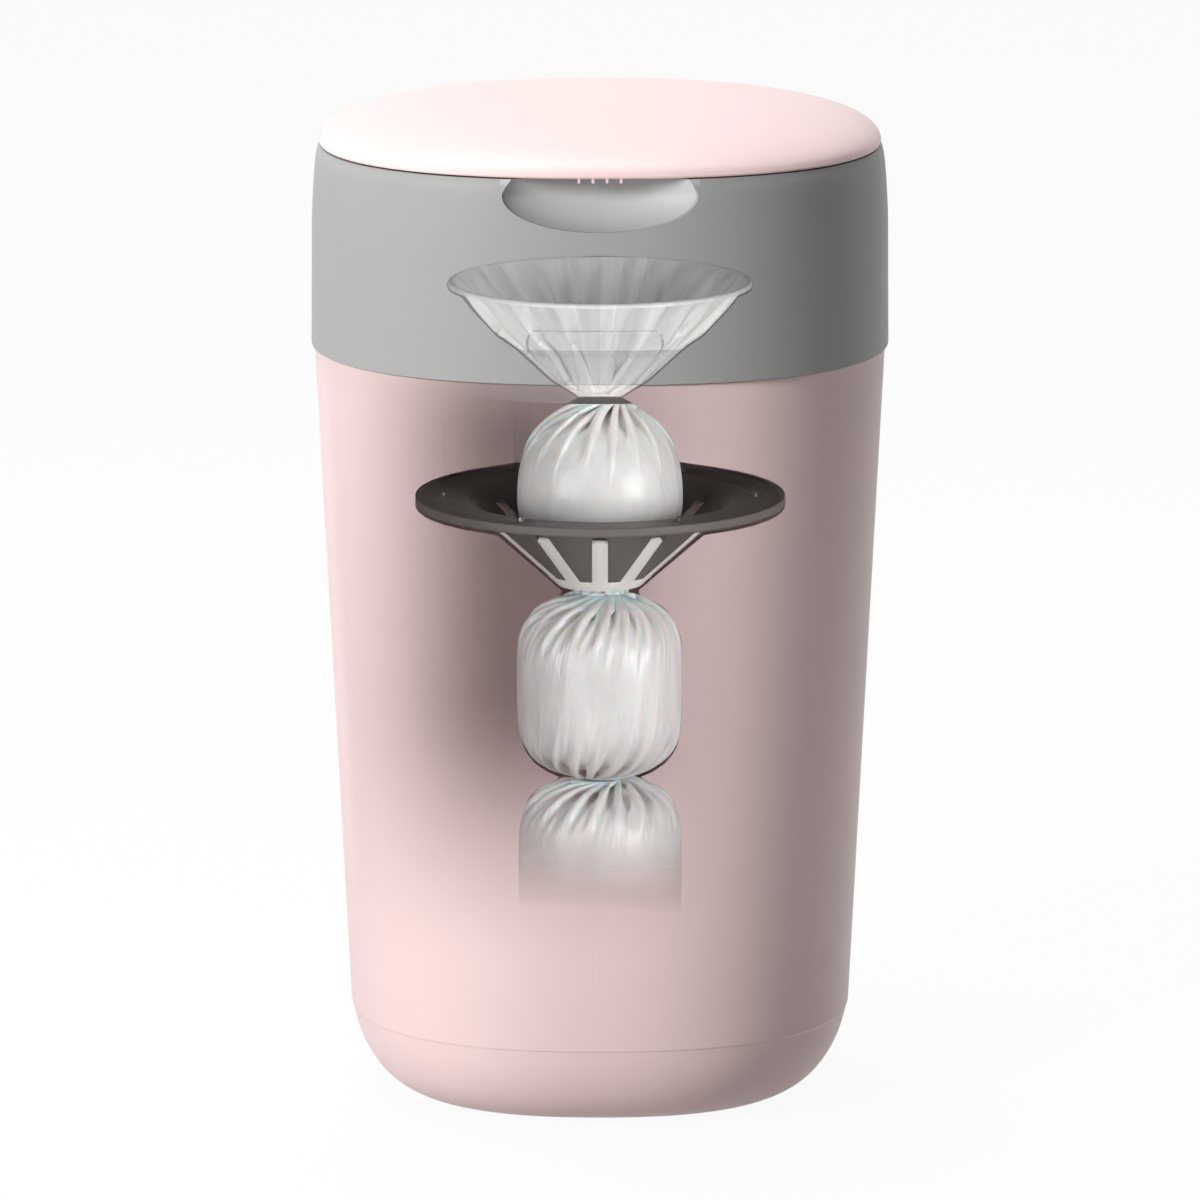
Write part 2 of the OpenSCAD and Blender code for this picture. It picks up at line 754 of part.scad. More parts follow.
// A compression spring between the tower's floor and the button.
module cutter_spring() {
    wire_r = 0.45;
    coil_r = 3.3;
    turns = 6;
    per_turn = 12;
    sides = 6;
    low = tower_floor + wire_r + 0.05;
    high = button_z - wire_r - 0.05;
    rings = turns * per_turn;
    points = [for (i = [0:rings], j = [0:sides - 1])
        let (a = 360 * i / per_turn, b = 360 * j / sides, r = coil_r + wire_r * cos(b))
            [r * cos(a), r * sin(a), low + (high - low) * i / rings + wire_r * sin(b)]];
    body = [for (i = [0:rings - 1], j = [0:sides - 1], half = [0, 1])
        let (k = (j + 1) % sides, p = i * sides, q = p + sides)
            half == 0 ? [p + j, p + k, q + k] : [p + j, q + k, q + j]];
    ends = [[for (j = [sides - 1:-1:0]) j], [for (j = [0:sides - 1]) rings * sides + j]];
    color(steel)
        translate([0, tower_y, 0]) polyhedron(points, concat(body, ends), convexity = 12);
}

// ---------------------------------------------------------------- lid

lid_r = collar_r - lid_inset;
liner_z = lid_z;
seal_r = dial_d / 2 + 1;
seal_w = 3;
seal_h = 6;

// The dome from its rim up to its pole, at a given radius, rise and base height.
function dome(r, rise, z, n) =
    [for (i = [n:-1:0]) let (a = 90 * i / n) [r * pow(sin(a), 2 / dome_power), z + rise * cos(a)]];

module lid_boss_positions() {
    around(4, seal_r - 12.5, 45) children();
}

module lid() {
    inner = dome(lid_r - lid_wall, lid_rise - lid_wall, lid_z, 7);
    outer = dome(lid_r, lid_rise, lid_z, 9);
    lug_room = lug_w + 2 * run_gap;
    boss_z = liner_z + liner_t;
    color(pink)
        difference() {
            union() {
                difference() {
                    section_lathe(concat([for (i = [len(inner) - 1:-1:0]) inner[i]], outer));
                    for (side = [-1, 1])
                        translate([side * (knuckle_w / 2 + run_gap + lug_w / 2), 0, 0])
                            translate([-lug_room / 2, hinge_y - barrel_d / 2 - 0.8, lid_z - over])
                                cube([lug_room, 20, lid_rise]);
                }
                hinge_axis() cylinder(d = barrel_d, h = knuckle_w, center = true, $fn = 48);
                intersection() {
                    lid_boss_positions()
                        translate([0, 0, boss_z]) cylinder(r = 3.6, h = lid_rise, $fn = 40);
                    section_lathe(concat([[0, lid_z]], dome(lid_r - 1, lid_rise - 1, lid_z, 7)));
                }
                for (x = [-9.3:6.2:9.3])
                    translate([x - 0.6, -lid_r + 0.7, lid_z - 2]) cube([1.2, lid_wall - 1, 2.4]);
            }
            hinge_axis() cylinder(d = pin_d + 2 * pin_gap, h = knuckle_w + 2 * lug_w, center = true, $fn = 48);
            lid_boss_positions()
                translate([0, 0, boss_z - over])
                    cylinder(r = screw_r + pin_gap, h = lid_screw_l + over, $fn = 32);
        }
}

module hinge_pin() {
    color(steel)
        hinge_axis()
            cylinder(d = pin_d, h = knuckle_w + 2 * lug_w + 2 * run_gap - 1, center = true, $fn = 48);
}

module lid_liner() {
    rear = barrel_d / 2 + 1;
    edge_drop = 0.985;                    // the dome has already drawn in this much at the liner's top
    color(grey)
        difference() {
            union() {
                translate([0, 0, liner_z])
                    linear_extrude(liner_t)
                        difference() {
                            polygon(outline((lid_r - lid_wall) * edge_drop - run_gap));
                            translate([-knuckle_w / 2 - lug_w - 2, hinge_y - rear])
                                square([knuckle_w + 2 * lug_w + 4, 30]);
                        }
                tube(seal_r + seal_w, seal_r, dial_z + seal_h, liner_z + over);
            }
            lid_boss_positions()
                translate([0, 0, liner_z - over])
                    cylinder(r = screw_r + 0.35, h = liner_t + 2 * over, $fn = 32);
        }
}

module lid_seal() {
    color(black)
        translate([0, 0, dial_z])
            rotate_extrude($fn = fine)
                polygon([[seal_r, seal_h], [seal_r, 1.2], [seal_r + 0.8, 0],
                    [seal_r + seal_w - 0.8, 0], [seal_r + seal_w, 1.2], [seal_r + seal_w, seal_h]]);
}

module lid_screws() {
    color(steel) lid_boss_positions() translate([0, 0, liner_z]) screw(lid_screw_l);
}

tub();
foot_pads();
collar();
rim_seal();
top_deck();
deck_screws();
cassette_drum();
drum_screws();
ratchet_pawl();
claw_petals();
claw_web();
claw_screws();
hinge_pin();
wrapped_parcel_1();
wrapped_parcel_2();
wrapped_parcel_3();
twist_dial();
dial_grips();
ratchet_ring();
cassette_tub();
cassette_cover();
film_pack();
film_funnel();
cutter_button();
cutter_blade();
cutter_spring();
lid();
lid_liner();
lid_seal();
lid_screws();
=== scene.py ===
# %% [markdown]
# # A nappy bin, dressed around its CAD model
#
# The bin is a pink tub, a grey hub that lifts off it, and a pink domed lid. Inside the hub a
# dial turns a cassette of film, and a claw under it holds each wrapped parcel still, so that
# turning the dial twists the film shut. The CAD model fixes every size and joint. This lesson
# adds what a camera sees: smooth shells, plastics, thin film and three creased parcels.
#
# The picture that it follows is a see-through illustration. Here the shells stay whole, and
# only their materials turn clear, in a patch that is fixed to the object.

# %% Load the frame
import json
import math

import bmesh
import bpy
import numpy as np
from mathutils import Matrix, Vector

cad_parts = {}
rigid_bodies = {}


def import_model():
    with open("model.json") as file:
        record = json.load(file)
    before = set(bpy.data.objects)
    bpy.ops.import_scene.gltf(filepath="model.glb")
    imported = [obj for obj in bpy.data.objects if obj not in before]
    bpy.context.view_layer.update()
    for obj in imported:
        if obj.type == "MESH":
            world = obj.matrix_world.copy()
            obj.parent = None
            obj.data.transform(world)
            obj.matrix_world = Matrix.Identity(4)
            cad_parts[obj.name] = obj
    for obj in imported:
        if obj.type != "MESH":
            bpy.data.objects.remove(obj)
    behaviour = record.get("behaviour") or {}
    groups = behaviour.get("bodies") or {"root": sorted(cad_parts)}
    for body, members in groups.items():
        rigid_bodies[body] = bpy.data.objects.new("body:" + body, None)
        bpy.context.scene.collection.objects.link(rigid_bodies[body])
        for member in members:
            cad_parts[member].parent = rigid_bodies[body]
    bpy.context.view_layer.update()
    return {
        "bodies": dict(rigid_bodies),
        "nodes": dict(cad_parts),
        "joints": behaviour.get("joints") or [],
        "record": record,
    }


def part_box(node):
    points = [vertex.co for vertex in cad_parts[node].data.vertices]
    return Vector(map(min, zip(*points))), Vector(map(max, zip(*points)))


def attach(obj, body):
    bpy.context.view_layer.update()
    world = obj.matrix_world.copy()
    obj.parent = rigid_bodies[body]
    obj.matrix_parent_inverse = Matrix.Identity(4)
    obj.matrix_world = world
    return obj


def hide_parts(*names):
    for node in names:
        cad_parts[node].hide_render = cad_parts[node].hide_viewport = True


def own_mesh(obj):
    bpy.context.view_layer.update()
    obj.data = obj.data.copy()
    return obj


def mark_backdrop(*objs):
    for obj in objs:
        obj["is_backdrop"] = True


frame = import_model()
scene = bpy.context.scene
MM = 0.001

# %% [markdown]
# ## The camera
#
# The picture is seen from about four metres away through a long lens, a little above the lid.
# The distance, height and tilt were worked out from the curves of the collar and the lid.

# %% Place the camera
EYE = Vector((0, -3.9296, 1.0093))
LOOK_DOWN = 11.298
lens = bpy.data.cameras.new("camera")
lens.lens = 261.7
lens.sensor_width = 36
lens.clip_end = 40
camera = bpy.data.objects.new("camera", lens)
camera.location = EYE
camera.rotation_euler = (math.radians(90 - LOOK_DOWN), 0, 0)
scene.collection.objects.link(camera)
scene.camera = camera
print("camera", round(EYE.length, 2), "m away")

# %% [markdown]
# ## Shader arithmetic
#
# A pattern is a sum over the surface: this wave, plus that noise, times a mask. The small
# class below wraps one socket, so that Python's own operators add the Math nodes and a pattern
# reads as a line of arithmetic.

# %% A socket that Python can do arithmetic on


class Wire:
    """An output socket of a material, which + - * / and ** work on."""

    def __init__(self, tree, socket):
        self.tree = tree
        self.socket = socket

    def node(self, kind, settings, inputs, out=0):
        """Adds a node, makes its settings, then fills its sockets with values or wires."""
        made = self.tree.nodes.new(kind)
        for name, value in settings.items():
            if name == "stops":
                ramp = made.color_ramp
                while len(ramp.elements) < len(value):
                    ramp.elements.new(0.5)
                for element, (place, colour) in zip(ramp.elements, value):
                    element.position = place
                    element.color = colour
            else:
                setattr(made, name, value)
        for name, value in inputs.items():
            if isinstance(value, Wire):
                self.tree.links.new(value.socket, made.inputs[name])
            else:
                made.inputs[name].default_value = value
        return Wire(self.tree, made.outputs[out] if made.outputs else None)

    def math(self, operation, *others):
        inputs = {0: self}
        for place, other in enumerate(others, 1):
            inputs[place] = other
        return self.node("ShaderNodeMath", {"operation": operation}, inputs)

    def __add__(self, other):
        return self.math("ADD", other)

    def __sub__(self, other):
        return self.math("SUBTRACT", other)

    def __rsub__(self, other):
        return self.node("ShaderNodeMath", {"operation": "SUBTRACT"}, {0: other, 1: self})

    def __mul__(self, other):
        return self.math("MULTIPLY", other)

    def __truediv__(self, other):
        return self.math("DIVIDE", other)

    def __pow__(self, power):
        return self.math("POWER", power)

    __radd__ = __add__
    __rmul__ = __mul__

    def size(self):
        return self.math("ABSOLUTE")

    def most(self, other):
        return self.math("MAXIMUM", other)

    def least(self, other):
        return self.math("MINIMUM", other)

    def step(self, low, high):
        """0 below low, 1 above high, and a smooth climb between."""
        settings = {"interpolation_type": "SMOOTHSTEP", "clamp": True}
        return self.node("ShaderNodeMapRange", settings,
                         {"Value": self, "From Min": low, "From Max": high})


class Finish:
    """A material under construction: its tree, its places in millimetres and its shader."""

    def __init__(self, name):
        self.material = bpy.data.materials.new(name)
        self.material.use_nodes = True
        self.tree = self.material.node_tree
        self.tree.nodes.clear()
        start = Wire(self.tree, None)
        self.place = start.node("ShaderNodeTexCoord", {}, {}, "Object")
        self.start = start
        split = start.node("ShaderNodeSeparateXYZ", {}, {"Vector": self.place})
        outputs = split.socket.node.outputs
        self.x, self.y, self.z = (Wire(self.tree, outputs[i]) / MM for i in range(3))

    def noise(self, scale, detail=3.0, roughness=0.5, stretch=(1, 1, 1)):
        """Noise with about scale lumps in a metre, from 0 to 1."""
        place = self.start.node("ShaderNodeMapping", {}, {"Vector": self.place, "Scale": stretch})
        return self.start.node("ShaderNodeTexNoise", {},
                               {"Vector": place, "Scale": scale, "Detail": detail,
                                "Roughness": roughness})

    def between(self, share, low, high):
        """A colour that goes from low to high with share."""
        settings = {"data_type": "RGBA"}
        mix = self.start.node("ShaderNodeMix", settings, {}, 2)
        node = mix.socket.node
        self.tree.links.new(share.socket, node.inputs[0])
        for socket, colour in ((node.inputs[6], low), (node.inputs[7], high)):
            if isinstance(colour, Wire):
                self.tree.links.new(colour.socket, socket)
            else:
                socket.default_value = colour
        return mix

    def shadow(self):
        """1 for a ray that looks for a lamp, which a shell stops even where it looks clear."""
        return self.start.node("ShaderNodeLightPath", {}, {}, "Is Shadow Ray")

    def bump(self, height, depth):
        """A normal for a relief of this height, depth metres deep where height is 1."""
        return self.start.node("ShaderNodeBump", {}, {"Height": height, "Distance": depth,
                                                      "Strength": 1.0})

    def shade(self, **inputs):
        """Ends the material in one Principled shader with these inputs."""
        named = {key.replace("_", " "): value for key, value in inputs.items()}
        surface = self.start.node("ShaderNodeBsdfPrincipled", {}, named)
        self.start.node("ShaderNodeOutputMaterial", {}, {"Surface": surface})
        return self.material


def srgb(*levels):
    """A colour as a picture editor writes it, 0 to 255, for a shader."""
    shares = (level / 255 for level in levels)
    return (*(c / 12.92 if c <= 0.04045 else ((c + 0.055) / 1.055) ** 2.4 for c in shares), 1.0)


print("shader arithmetic ready")

# %% [markdown]
# ## Places from the CAD model
#
# Sizes are read from the CAD nodes, in millimetres, so that each drawn piece lands on its
# solid. The roll in a parcel is a rounded drum: a superellipse spun about the bin's axis.

# %% Heights and radii


def half_width(node):
    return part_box(node)[1].x / MM


def low_high(node):
    """The heights at which a CAD node begins and ends."""
    return [corner.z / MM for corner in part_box(node)]


def joint(name):
    return next(j for j in frame["joints"] if j["name"] == name)


PARCEL_R = half_width("wrapped_parcel_2")
PARCEL_LOWS, PARCEL_TOPS = zip(*(low_high(f"wrapped_parcel_{i}") for i in (1, 2, 3)))
CLAW_Z = low_high("claw_petals")[1]
MOUTH_Z = low_high("claw_web")[0]
FUNNEL_LOW, FUNNEL_HIGH = low_high("film_funnel")
FUNNEL_R = half_width("film_funnel")
COLLAR_LOW = low_high("collar")[0]
COLLAR_R = half_width("collar") - 0.5
# The nappy in each parcel: middle height, radius, half height up and down, squareness of both.
ROLL_R = PARCEL_R - 1.0
ROLLS = [(PARCEL_TOPS[0] - 48, ROLL_R, 39, 36.5, 2.7, 2.0)]
for top, low in zip(PARCEL_TOPS[1:], PARCEL_LOWS[1:]):
    half = (top - low) / 2 - 12
    ROLLS.append(((top + low) / 2, ROLL_R, half, half, 2.8, 2.8))
print("claw at", round(CLAW_Z, 1), "funnel", round(FUNNEL_LOW, 1), round(FUNNEL_HIGH, 1))

# %% [markdown]
# ## Film, parcels, rubber and steel
#
# The film is a thin milky polythene. Folded once it is nearly clear, and where it bunches it
# goes white, so its alpha follows the folds. A parcel is the same film over a soft nappy:
# light goes a little way in, so it gets subsurface scattering, and a bump draws fine creases
# on top of the modelled folds. Its colour darkens in the bump's hollows, as painted shade.

# %% Film and parcel


def film():
    f = Finish("film")
    around = f.x.math("ARCTAN2", f.y)
    streak, strand = (f.start.node("ShaderNodeTexNoise", {"noise_dimensions": "1D"},
                                   {"W": around, "Scale": scale, "Detail": 2.0})
                      for scale in (5.0, 42.0))
    down = 1 - f.z.step(FUNNEL_LOW, FUNNEL_HIGH)
    cloud = streak.step(0.48, 0.66) * 0.3 + strand.step(0.55, 0.7) * 0.16 + down * 0.2
    return f.shade(Base_Color=srgb(248, 248, 246), Roughness=0.32,
                   Alpha=cloud * 0.5 + down ** 4 * 0.1 + 0.72, Normal=f.bump(strand, 0.0002))


def parcel_film():
    f = Finish("parcel_film")
    folds = f.noise(28, 6, 0.62, (1, 1, 0.45))
    wrinkle = f.noise(90, 5, 0.6, (1, 1, 0.3))
    crease = (folds - 0.5).size().step(0.05, 0.0)
    # Painted shade: the colour is darker where the folds' bump is low, in the hollows between
    # folds.
    fold_hollow_shade = (folds * 0.7 + wrinkle * 0.3).step(0.3, 0.7)
    colour = f.between(fold_hollow_shade, srgb(206, 206, 205), srgb(232, 232, 231))
    return f.shade(Base_Color=colour, Roughness=0.36 + wrinkle * 0.14,
                   Normal=f.bump(folds * 0.8 + wrinkle * 0.35 + crease * 0.15, 0.0008),
                   Subsurface_Weight=0.4, Subsurface_Scale=0.01,
                   Coat_Weight=0.25, Coat_Roughness=0.3)


def rubber(name, clear=None):
    f = Finish(name)
    return f.shade(Base_Color=f.between(f.noise(60), srgb(32, 32, 33), srgb(44, 44, 45)),
                   Roughness=0.75 + f.noise(300) * 0.1, Normal=f.bump(f.noise(1800), 0.00003),
                   Alpha=1 - clear(f) if clear else 1.0)


def steel(name, clear=None):
    f = Finish(name)
    brushed = f.noise(700, 3, 0.6, (1, 1, 0.08))
    return f.shade(Base_Color=f.between(brushed, srgb(176, 178, 181), srgb(205, 206, 208)),
                   Metallic=1.0, Roughness=0.26 + brushed * 0.14,
                   Alpha=1 - clear(f) if clear else 1.0)


thin_film = film()
parcel_skin = parcel_film()
black_rubber = rubber("black_rubber")
bright_steel = steel("steel")
print("soft and metal finishes ready")

# %% [markdown]
# ## Making shells
#
# The section of each shell is a superellipse, a shape between a circle and a square. One
# profile is spun, as if the bin were round, and then each vertex is pushed out to the
# superellipse. The corners of a profile are rounded first, because a moulding has no sharp
# edge and its small radius is what catches the light.

# %% Profiles, spins and superellipses
SQUARENESS = 2.4
STEPS = 256


def rounded(points, radius, steps=4):
    """The same path with each corner swapped for a short curve."""
    path = [Vector(p) for p in points]
    made = [path[0]]
    for before, corner, after in zip(path, path[1:], path[2:]):
        back, ahead = before - corner, after - corner
        reach = min(radius, back.length * 0.45, ahead.length * 0.45)
        start = corner + back.normalized() * reach
        end = corner + ahead.normalized() * reach
        for i in range(steps + 1):
            t = i / steps
            made.append(start * (1 - t) ** 2 + corner * 2 * t * (1 - t) + end * t ** 2)
    return [*made, path[-1]]


def outward(bm):
    bmesh.ops.recalc_face_normals(bm, faces=bm.faces[:])
    return bm


def placed(bm, size, place):
    """Scales a bmesh, then moves it to a place in mm."""
    bmesh.ops.scale(bm, vec=size, verts=bm.verts[:])
    bmesh.ops.translate(bm, vec=[v * MM for v in place], verts=bm.verts[:])
    return bm


def angles(degrees, count):
    return [math.radians(degrees * i / count) for i in range(count + 1)]


def spun(profile, steps=STEPS, closed=False):
    """A bmesh of a (radius, height) profile in mm, spun about the Z axis."""
    bm = bmesh.new()
    ring = [bm.verts.new((r * MM, 0, z * MM)) for r, z in profile]
    for first, second in zip(ring, ring[1:]):
        bm.edges.new((first, second))
    if closed:
        bm.edges.new((ring[-1], ring[0]))
    bmesh.ops.spin(bm, geom=bm.verts[:] + bm.edges[:], cent=(0, 0, 0), axis=(0, 0, 1),
                   angle=math.tau, steps=steps, use_merge=True, use_duplicate=False)
    bmesh.ops.remove_doubles(bm, verts=bm.verts[:], dist=1e-6)
    return outward(bm)


def squared(bm, power=SQUARENESS):
    """Pushes a round spin out to a superellipse of the same half width."""
    for v in bm.verts:
        angle = math.atan2(v.co.y, v.co.x)
        reach = (abs(math.cos(angle)) ** power + abs(math.sin(angle)) ** power) ** (-1 / power)
        v.co.x *= reach
        v.co.y *= reach
    return bm


def smoothed(mesh, sharp):
    """Smooth shading, except where two faces meet at more than sharp degrees."""
    mesh.shade_smooth()
    mesh.set_sharp_from_angle(angle=math.radians(sharp))
    return mesh


def made_object(name, bm, sharp=35):
    mesh = bpy.data.meshes.new(name)
    bm.to_mesh(mesh)
    bm.free()
    made = bpy.data.objects.new(name, smoothed(mesh, sharp))
    scene.collection.objects.link(made)
    return made


def applied(obj, sharp=35):
    """Bakes the object's modifiers into its mesh."""
    evaluated = obj.evaluated_get(bpy.context.evaluated_depsgraph_get())
    mesh = bpy.data.meshes.new_from_object(evaluated)
    obj.modifiers.clear()
    obj.data = smoothed(mesh, sharp)
    return obj


def combine(target, tool, operation):
    """Cuts, joins or intersects target with tool, which is then thrown away."""
    boolean = target.modifiers.new("combine", "BOOLEAN")
    boolean.operation = operation
    boolean.solver = "EXACT"
    boolean.object = tool
    applied(target)
    bpy.data.objects.remove(tool)
    return target


def dress(obj, body, material, slot, *nodes):
    """Gives a piece its material and its body, and hides the CAD nodes that it stands for. slot is
    not used.
    """
    obj.data.materials.clear()
    obj.data.materials.append(material)
    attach(obj, body)
    if nodes:
        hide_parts(*nodes)
    print(obj.name, len(obj.data.polygons), "faces")
    return obj


# %% [markdown]
# ## Film that gathers
#
# Film hardly stretches, but it folds at once. When a wide tube of it is drawn into a narrow
# neck and turned, the spare width goes into pleats that sweep round on a spiral. Blender's
# cloth let the sleeve sink through its roll, so the film is settled here in a small solver: a
# grid of points whose neighbours are pulled back to their distance, many times over, while the
# end rings draw in and turn.

# %% One pull between neighbours, and a gathered ring
COLUMNS = 220
PARCEL_STEPS = (36, 6)
VEIL_STEPS = ((70, 10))
MOVING = 0.72                       # the share of the frames in which the ends move
SHEAR = 0.35                        # how hard a square of film resists leaning
FOLD = ((2, 0.25), (4, 0.06))       # how far apart, and how hard, points resist a fold
KEPT_SPEED, TOP_SPEED = 0.86, 1.2


def pull(a, b, rest, give=1.0):
    """Moves two arrays of points together or apart, until they are rest apart."""
    gap = b - a
    length = np.sqrt((gap * gap).sum(-1, keepdims=True)) + 1e-9
    move = gap * (give * 0.5 * (length - rest) / length)
    a += move
    b -= move


def straighten(a, b, rest, give):
    """Pushes points apart that are nearer than rest, because film resists a sharp fold."""
    gap = b - a
    length = np.sqrt((gap * gap).sum(-1, keepdims=True)) + 1e-9
    return gap * (give * 0.25 * np.minimum(length - rest, 0) / length)


def all_round(columns):
    return np.arange(columns) / columns * math.tau


def circle(radius, columns):
    turn = all_round(columns)
    return np.stack([radius * np.cos(turn), radius * np.sin(turn)], -1)


def gathered(columns, lobes, mean, deep, phase):
    """A star-shaped ring: film of its full width, folded small enough for a neck."""
    turn = all_round(columns)
    saw = 1 - 4 * np.abs((turn * lobes + phase) / math.tau % 1.0 - 0.5)
    uneven = 1 + 0.3 * np.sin(3 * turn + phase) + 0.2 * np.sin(7 * turn + 2 * phase)
    reach = mean + deep * uneven * np.tanh(1.6 * saw) / math.tanh(1.6)
    return circle(1, columns) * reach[:, None]


def turned(ring, angle):
    c, s = math.cos(angle), math.sin(angle)
    return ring @ np.array([[c, s], [-s, c]])


print("solver frames and passes:", PARCEL_STEPS, "for a parcel,", VEIL_STEPS, "for the veil")

# %% Settling a tube of film


def film_tube(radius, high, low, rows, columns, seed):
    """A tube of points from high to low, with a slight unevenness to start its folds."""
    turn = all_round(columns)
    height = np.linspace(high, low, rows + 1)[:, None]
    draw = np.random.default_rng(seed)
    ripple = np.zeros((rows + 1, columns))
    for _ in range(12):
        lobes, lean, phase = draw.integers(4, 26), draw.uniform(0, 5), draw.uniform(0, math.tau)
        ripple += 0.1 * np.sin(lobes * turn + lean * height / 20 + phase)
    reach = radius + ripple
    return np.stack([reach * np.cos(turn), reach * np.sin(turn), height + 0 * reach], -1)


def from_axis(film):
    return np.hypot(film[..., 0], film[..., 1])


def draw_in(film, most):
    """Moves points that are farther than most from the axis in to it."""
    film[..., :2] *= np.minimum(1, most / np.maximum(from_axis(film), 1e-6))[..., None]


def settle(points, hold, keep_out, steps, cling=0.7):
    """Lets film find its rest, while hold moves its ends and keep_out fends off a solid."""
    middle = points.shape[0] // 2
    around = np.linalg.norm(points[middle, 1] - points[middle, 0])
    along = np.linalg.norm(points[middle + 1, 0] - points[middle, 0])
    across = math.hypot(around, along)
    frames, passes = steps
    speed = np.zeros_like(points)
    for frame in range(frames):
        share = min(1.0, (frame + 1) / (frames * MOVING))
        share = share * share * (3 - 2 * share)
        before = points.copy()
        points += speed
        for _ in range(passes):
            hold(points, share)
            pull(points[:, 0::2], points[:, 1::2], around)
            left, right = points[:, 1::2].copy(), np.roll(points, -1, 1)[:, 1::2].copy()
            pull(left, right, around)
            points[:, 1::2], points[:, 0::2] = left, np.roll(right, 1, 1)
            for start in (0, 1):
                lower = points[start + 1::2]
                upper = points[start:start + 2 * len(lower):2]
                pull(upper, lower, along)
                for lean in (1, -1):
                    slid = np.roll(lower, lean, 1)
                    pull(upper, slid, across, SHEAR)
                    lower[:] = np.roll(slid, -lean, 1)
            for reach, give in FOLD:
                move = straighten(points, np.roll(points, -reach, 1), reach * around, give)
                points += move
                points -= np.roll(move, reach, 1)
            move = straighten(points[:-2], points[2:], 2 * along, FOLD[1][1])
            points[:-2] += move
            points[2:] -= move
            touching = keep_out(points)
        speed = (points - before) * KEPT_SPEED
        speed[touching] *= 1 - cling
        pace = np.sqrt((speed * speed).sum(-1, keepdims=True))
        speed *= np.minimum(1, TOP_SPEED / np.maximum(pace, 1e-9))
    hold(points, 1.0)
    return points


def film_object(name, points, closed):
    """Spins a tube with one vertex for each point, and moves each vertex to its point."""
    rows, columns = points.shape[:2]
    bm = spun([(1 / MM, -row / MM) for row in range(rows)], columns)
    for v in bm.verts:
        column = round(math.atan2(v.co.y, v.co.x) / math.tau * columns) % columns
        v.co = Vector(points[round(-v.co.z), column]) * MM
    made = made_object(name, bm, 180)
    return capped(made) if closed else made


def capped(obj):
    """Subdivides an open tube once, then closes each end with a fan from its middle."""
    finer = obj.modifiers.new("finer", "SUBSURF")
    finer.levels = finer.render_levels = 1
    applied(obj, 180)
    bm = bmesh.new()
    bm.from_mesh(obj.data)
    ends = bmesh.ops.holes_fill(bm, edges=[e for e in bm.edges if e.is_boundary], sides=0)
    bmesh.ops.poke(bm, faces=ends["faces"])
    bm.to_mesh(obj.data)
    bm.free()
    obj.data.shade_smooth()
    return obj


print("film is ready to settle")

# %% [markdown]
# ## The film funnel
#
# Film is drawn from the cassette over its inner wall, and the twist below gathers it into a
# funnel. Its first rows hook over the wall and stay there. Below them the tube hangs free,
# and its last ring is drawn up and in to the neck, which leaves the pleats that the light
# catches. It may not leave the room that the solid funnel has in the CAD model.

# %% The funnel
FUNNEL_SIDES = [(0.0, 1.0), (0.27, 0.87), (0.55, 0.56), (0.84, 0.32), (1.0, 0.132)]
RIM_R = FUNNEL_R - 2.2
VEIL_LENGTH, LIP_LENGTH = 86, 8
LIP_ROWS, HOOK_R = 8, 1.9


def build_veil():
    columns, rows = 320, 62
    lip_z = FUNNEL_HIGH - 2.2
    lip = [(RIM_R + HOOK_R * math.cos(a), lip_z + HOOK_R * math.sin(a))
           for a in angles(150, LIP_ROWS - 1)]
    inner_r, start = lip[-1][0], lip[-1][1] - 1.0
    tube = film_tube(inner_r, start, start - VEIL_LENGTH, rows, columns, 7)
    tube[0, :, :2] = circle(inner_r, columns)
    held = np.zeros((LIP_ROWS, columns, 3))
    for row, (radius, z) in enumerate(lip):
        held[row, :, :2] = circle(radius, columns)
        held[row, :, 2] = z
    points = np.concatenate([held, tube])
    wide = circle(inner_r, columns)
    neck = gathered(columns, 24, 7.2, 2.6, 1.3)
    shares, radii = zip(*FUNNEL_SIDES)

    def hold(film, share):
        film[:LIP_ROWS] = held
        film[-1, :, :2] = turned(wide * (1 - share) + neck * share, -0.9 * share ** 1.5)
        film[-1, :, 2] = tube[-1, 0, 2] * (1 - share) + (FUNNEL_LOW + 0.4) * share

    def keep_out(film):
        free = film[LIP_ROWS:]
        reach = from_axis(free)
        down = (FUNNEL_HIGH - free[..., 2]) / (FUNNEL_HIGH - FUNNEL_LOW)
        side = np.interp(down, shares, radii) * RIM_R
        most = np.minimum(side * 1.03 + 0.4, inner_r)
        kept = np.where(down < 1.02, np.clip(reach, side * 0.86, most), reach)
        free[..., :2] *= (kept / np.maximum(reach, 1e-6))[..., None]
        touching = np.zeros(film.shape[:2], bool)
        touching[LIP_ROWS:] = kept != reach
        return touching

    return film_object("film_veil", settle(points, hold, keep_out, VEIL_STEPS, 0.3), False)


film_veil = dress(build_veil(), "dial", thin_film, "film", "film_funnel")
veil_area = sum(p.area for p in film_veil.data.polygons)
veil_flat = (math.tau * RIM_R * MM, (VEIL_LENGTH + LIP_LENGTH) * MM)
min(veil_area, veil_flat[0] * veil_flat[1])
print("veil area", round(veil_area, 4), "of", round(veil_flat[0] * veil_flat[1], 4))

# %% [markdown]
# ## The wrapped parcels
#
# Each parcel is a rolled nappy in a sleeve of the same film. The sleeve starts as a straight
# tube, and its ends are drawn in to necks and turned opposite ways, as the dial does. The
# first parcel sits in the claw, so the petals press its lower half into a cone.

# %% Parcels
CONE_LOW, CONE_HIGH = MOUTH_Z + 7, CLAW_Z - 6
CONE_R, CONE_SLOPE = 22.0, 1.128
THROAT_R, FREE_R = 14.0, 99.0


def bowl_limit(z):
    """How wide the first parcel may be at each height, inside the claw's petals."""
    cone = CONE_R + (z - CONE_LOW) * CONE_SLOPE
    return np.where(z > CONE_HIGH, FREE_R, np.where(z < CONE_LOW, THROAT_R, cone))


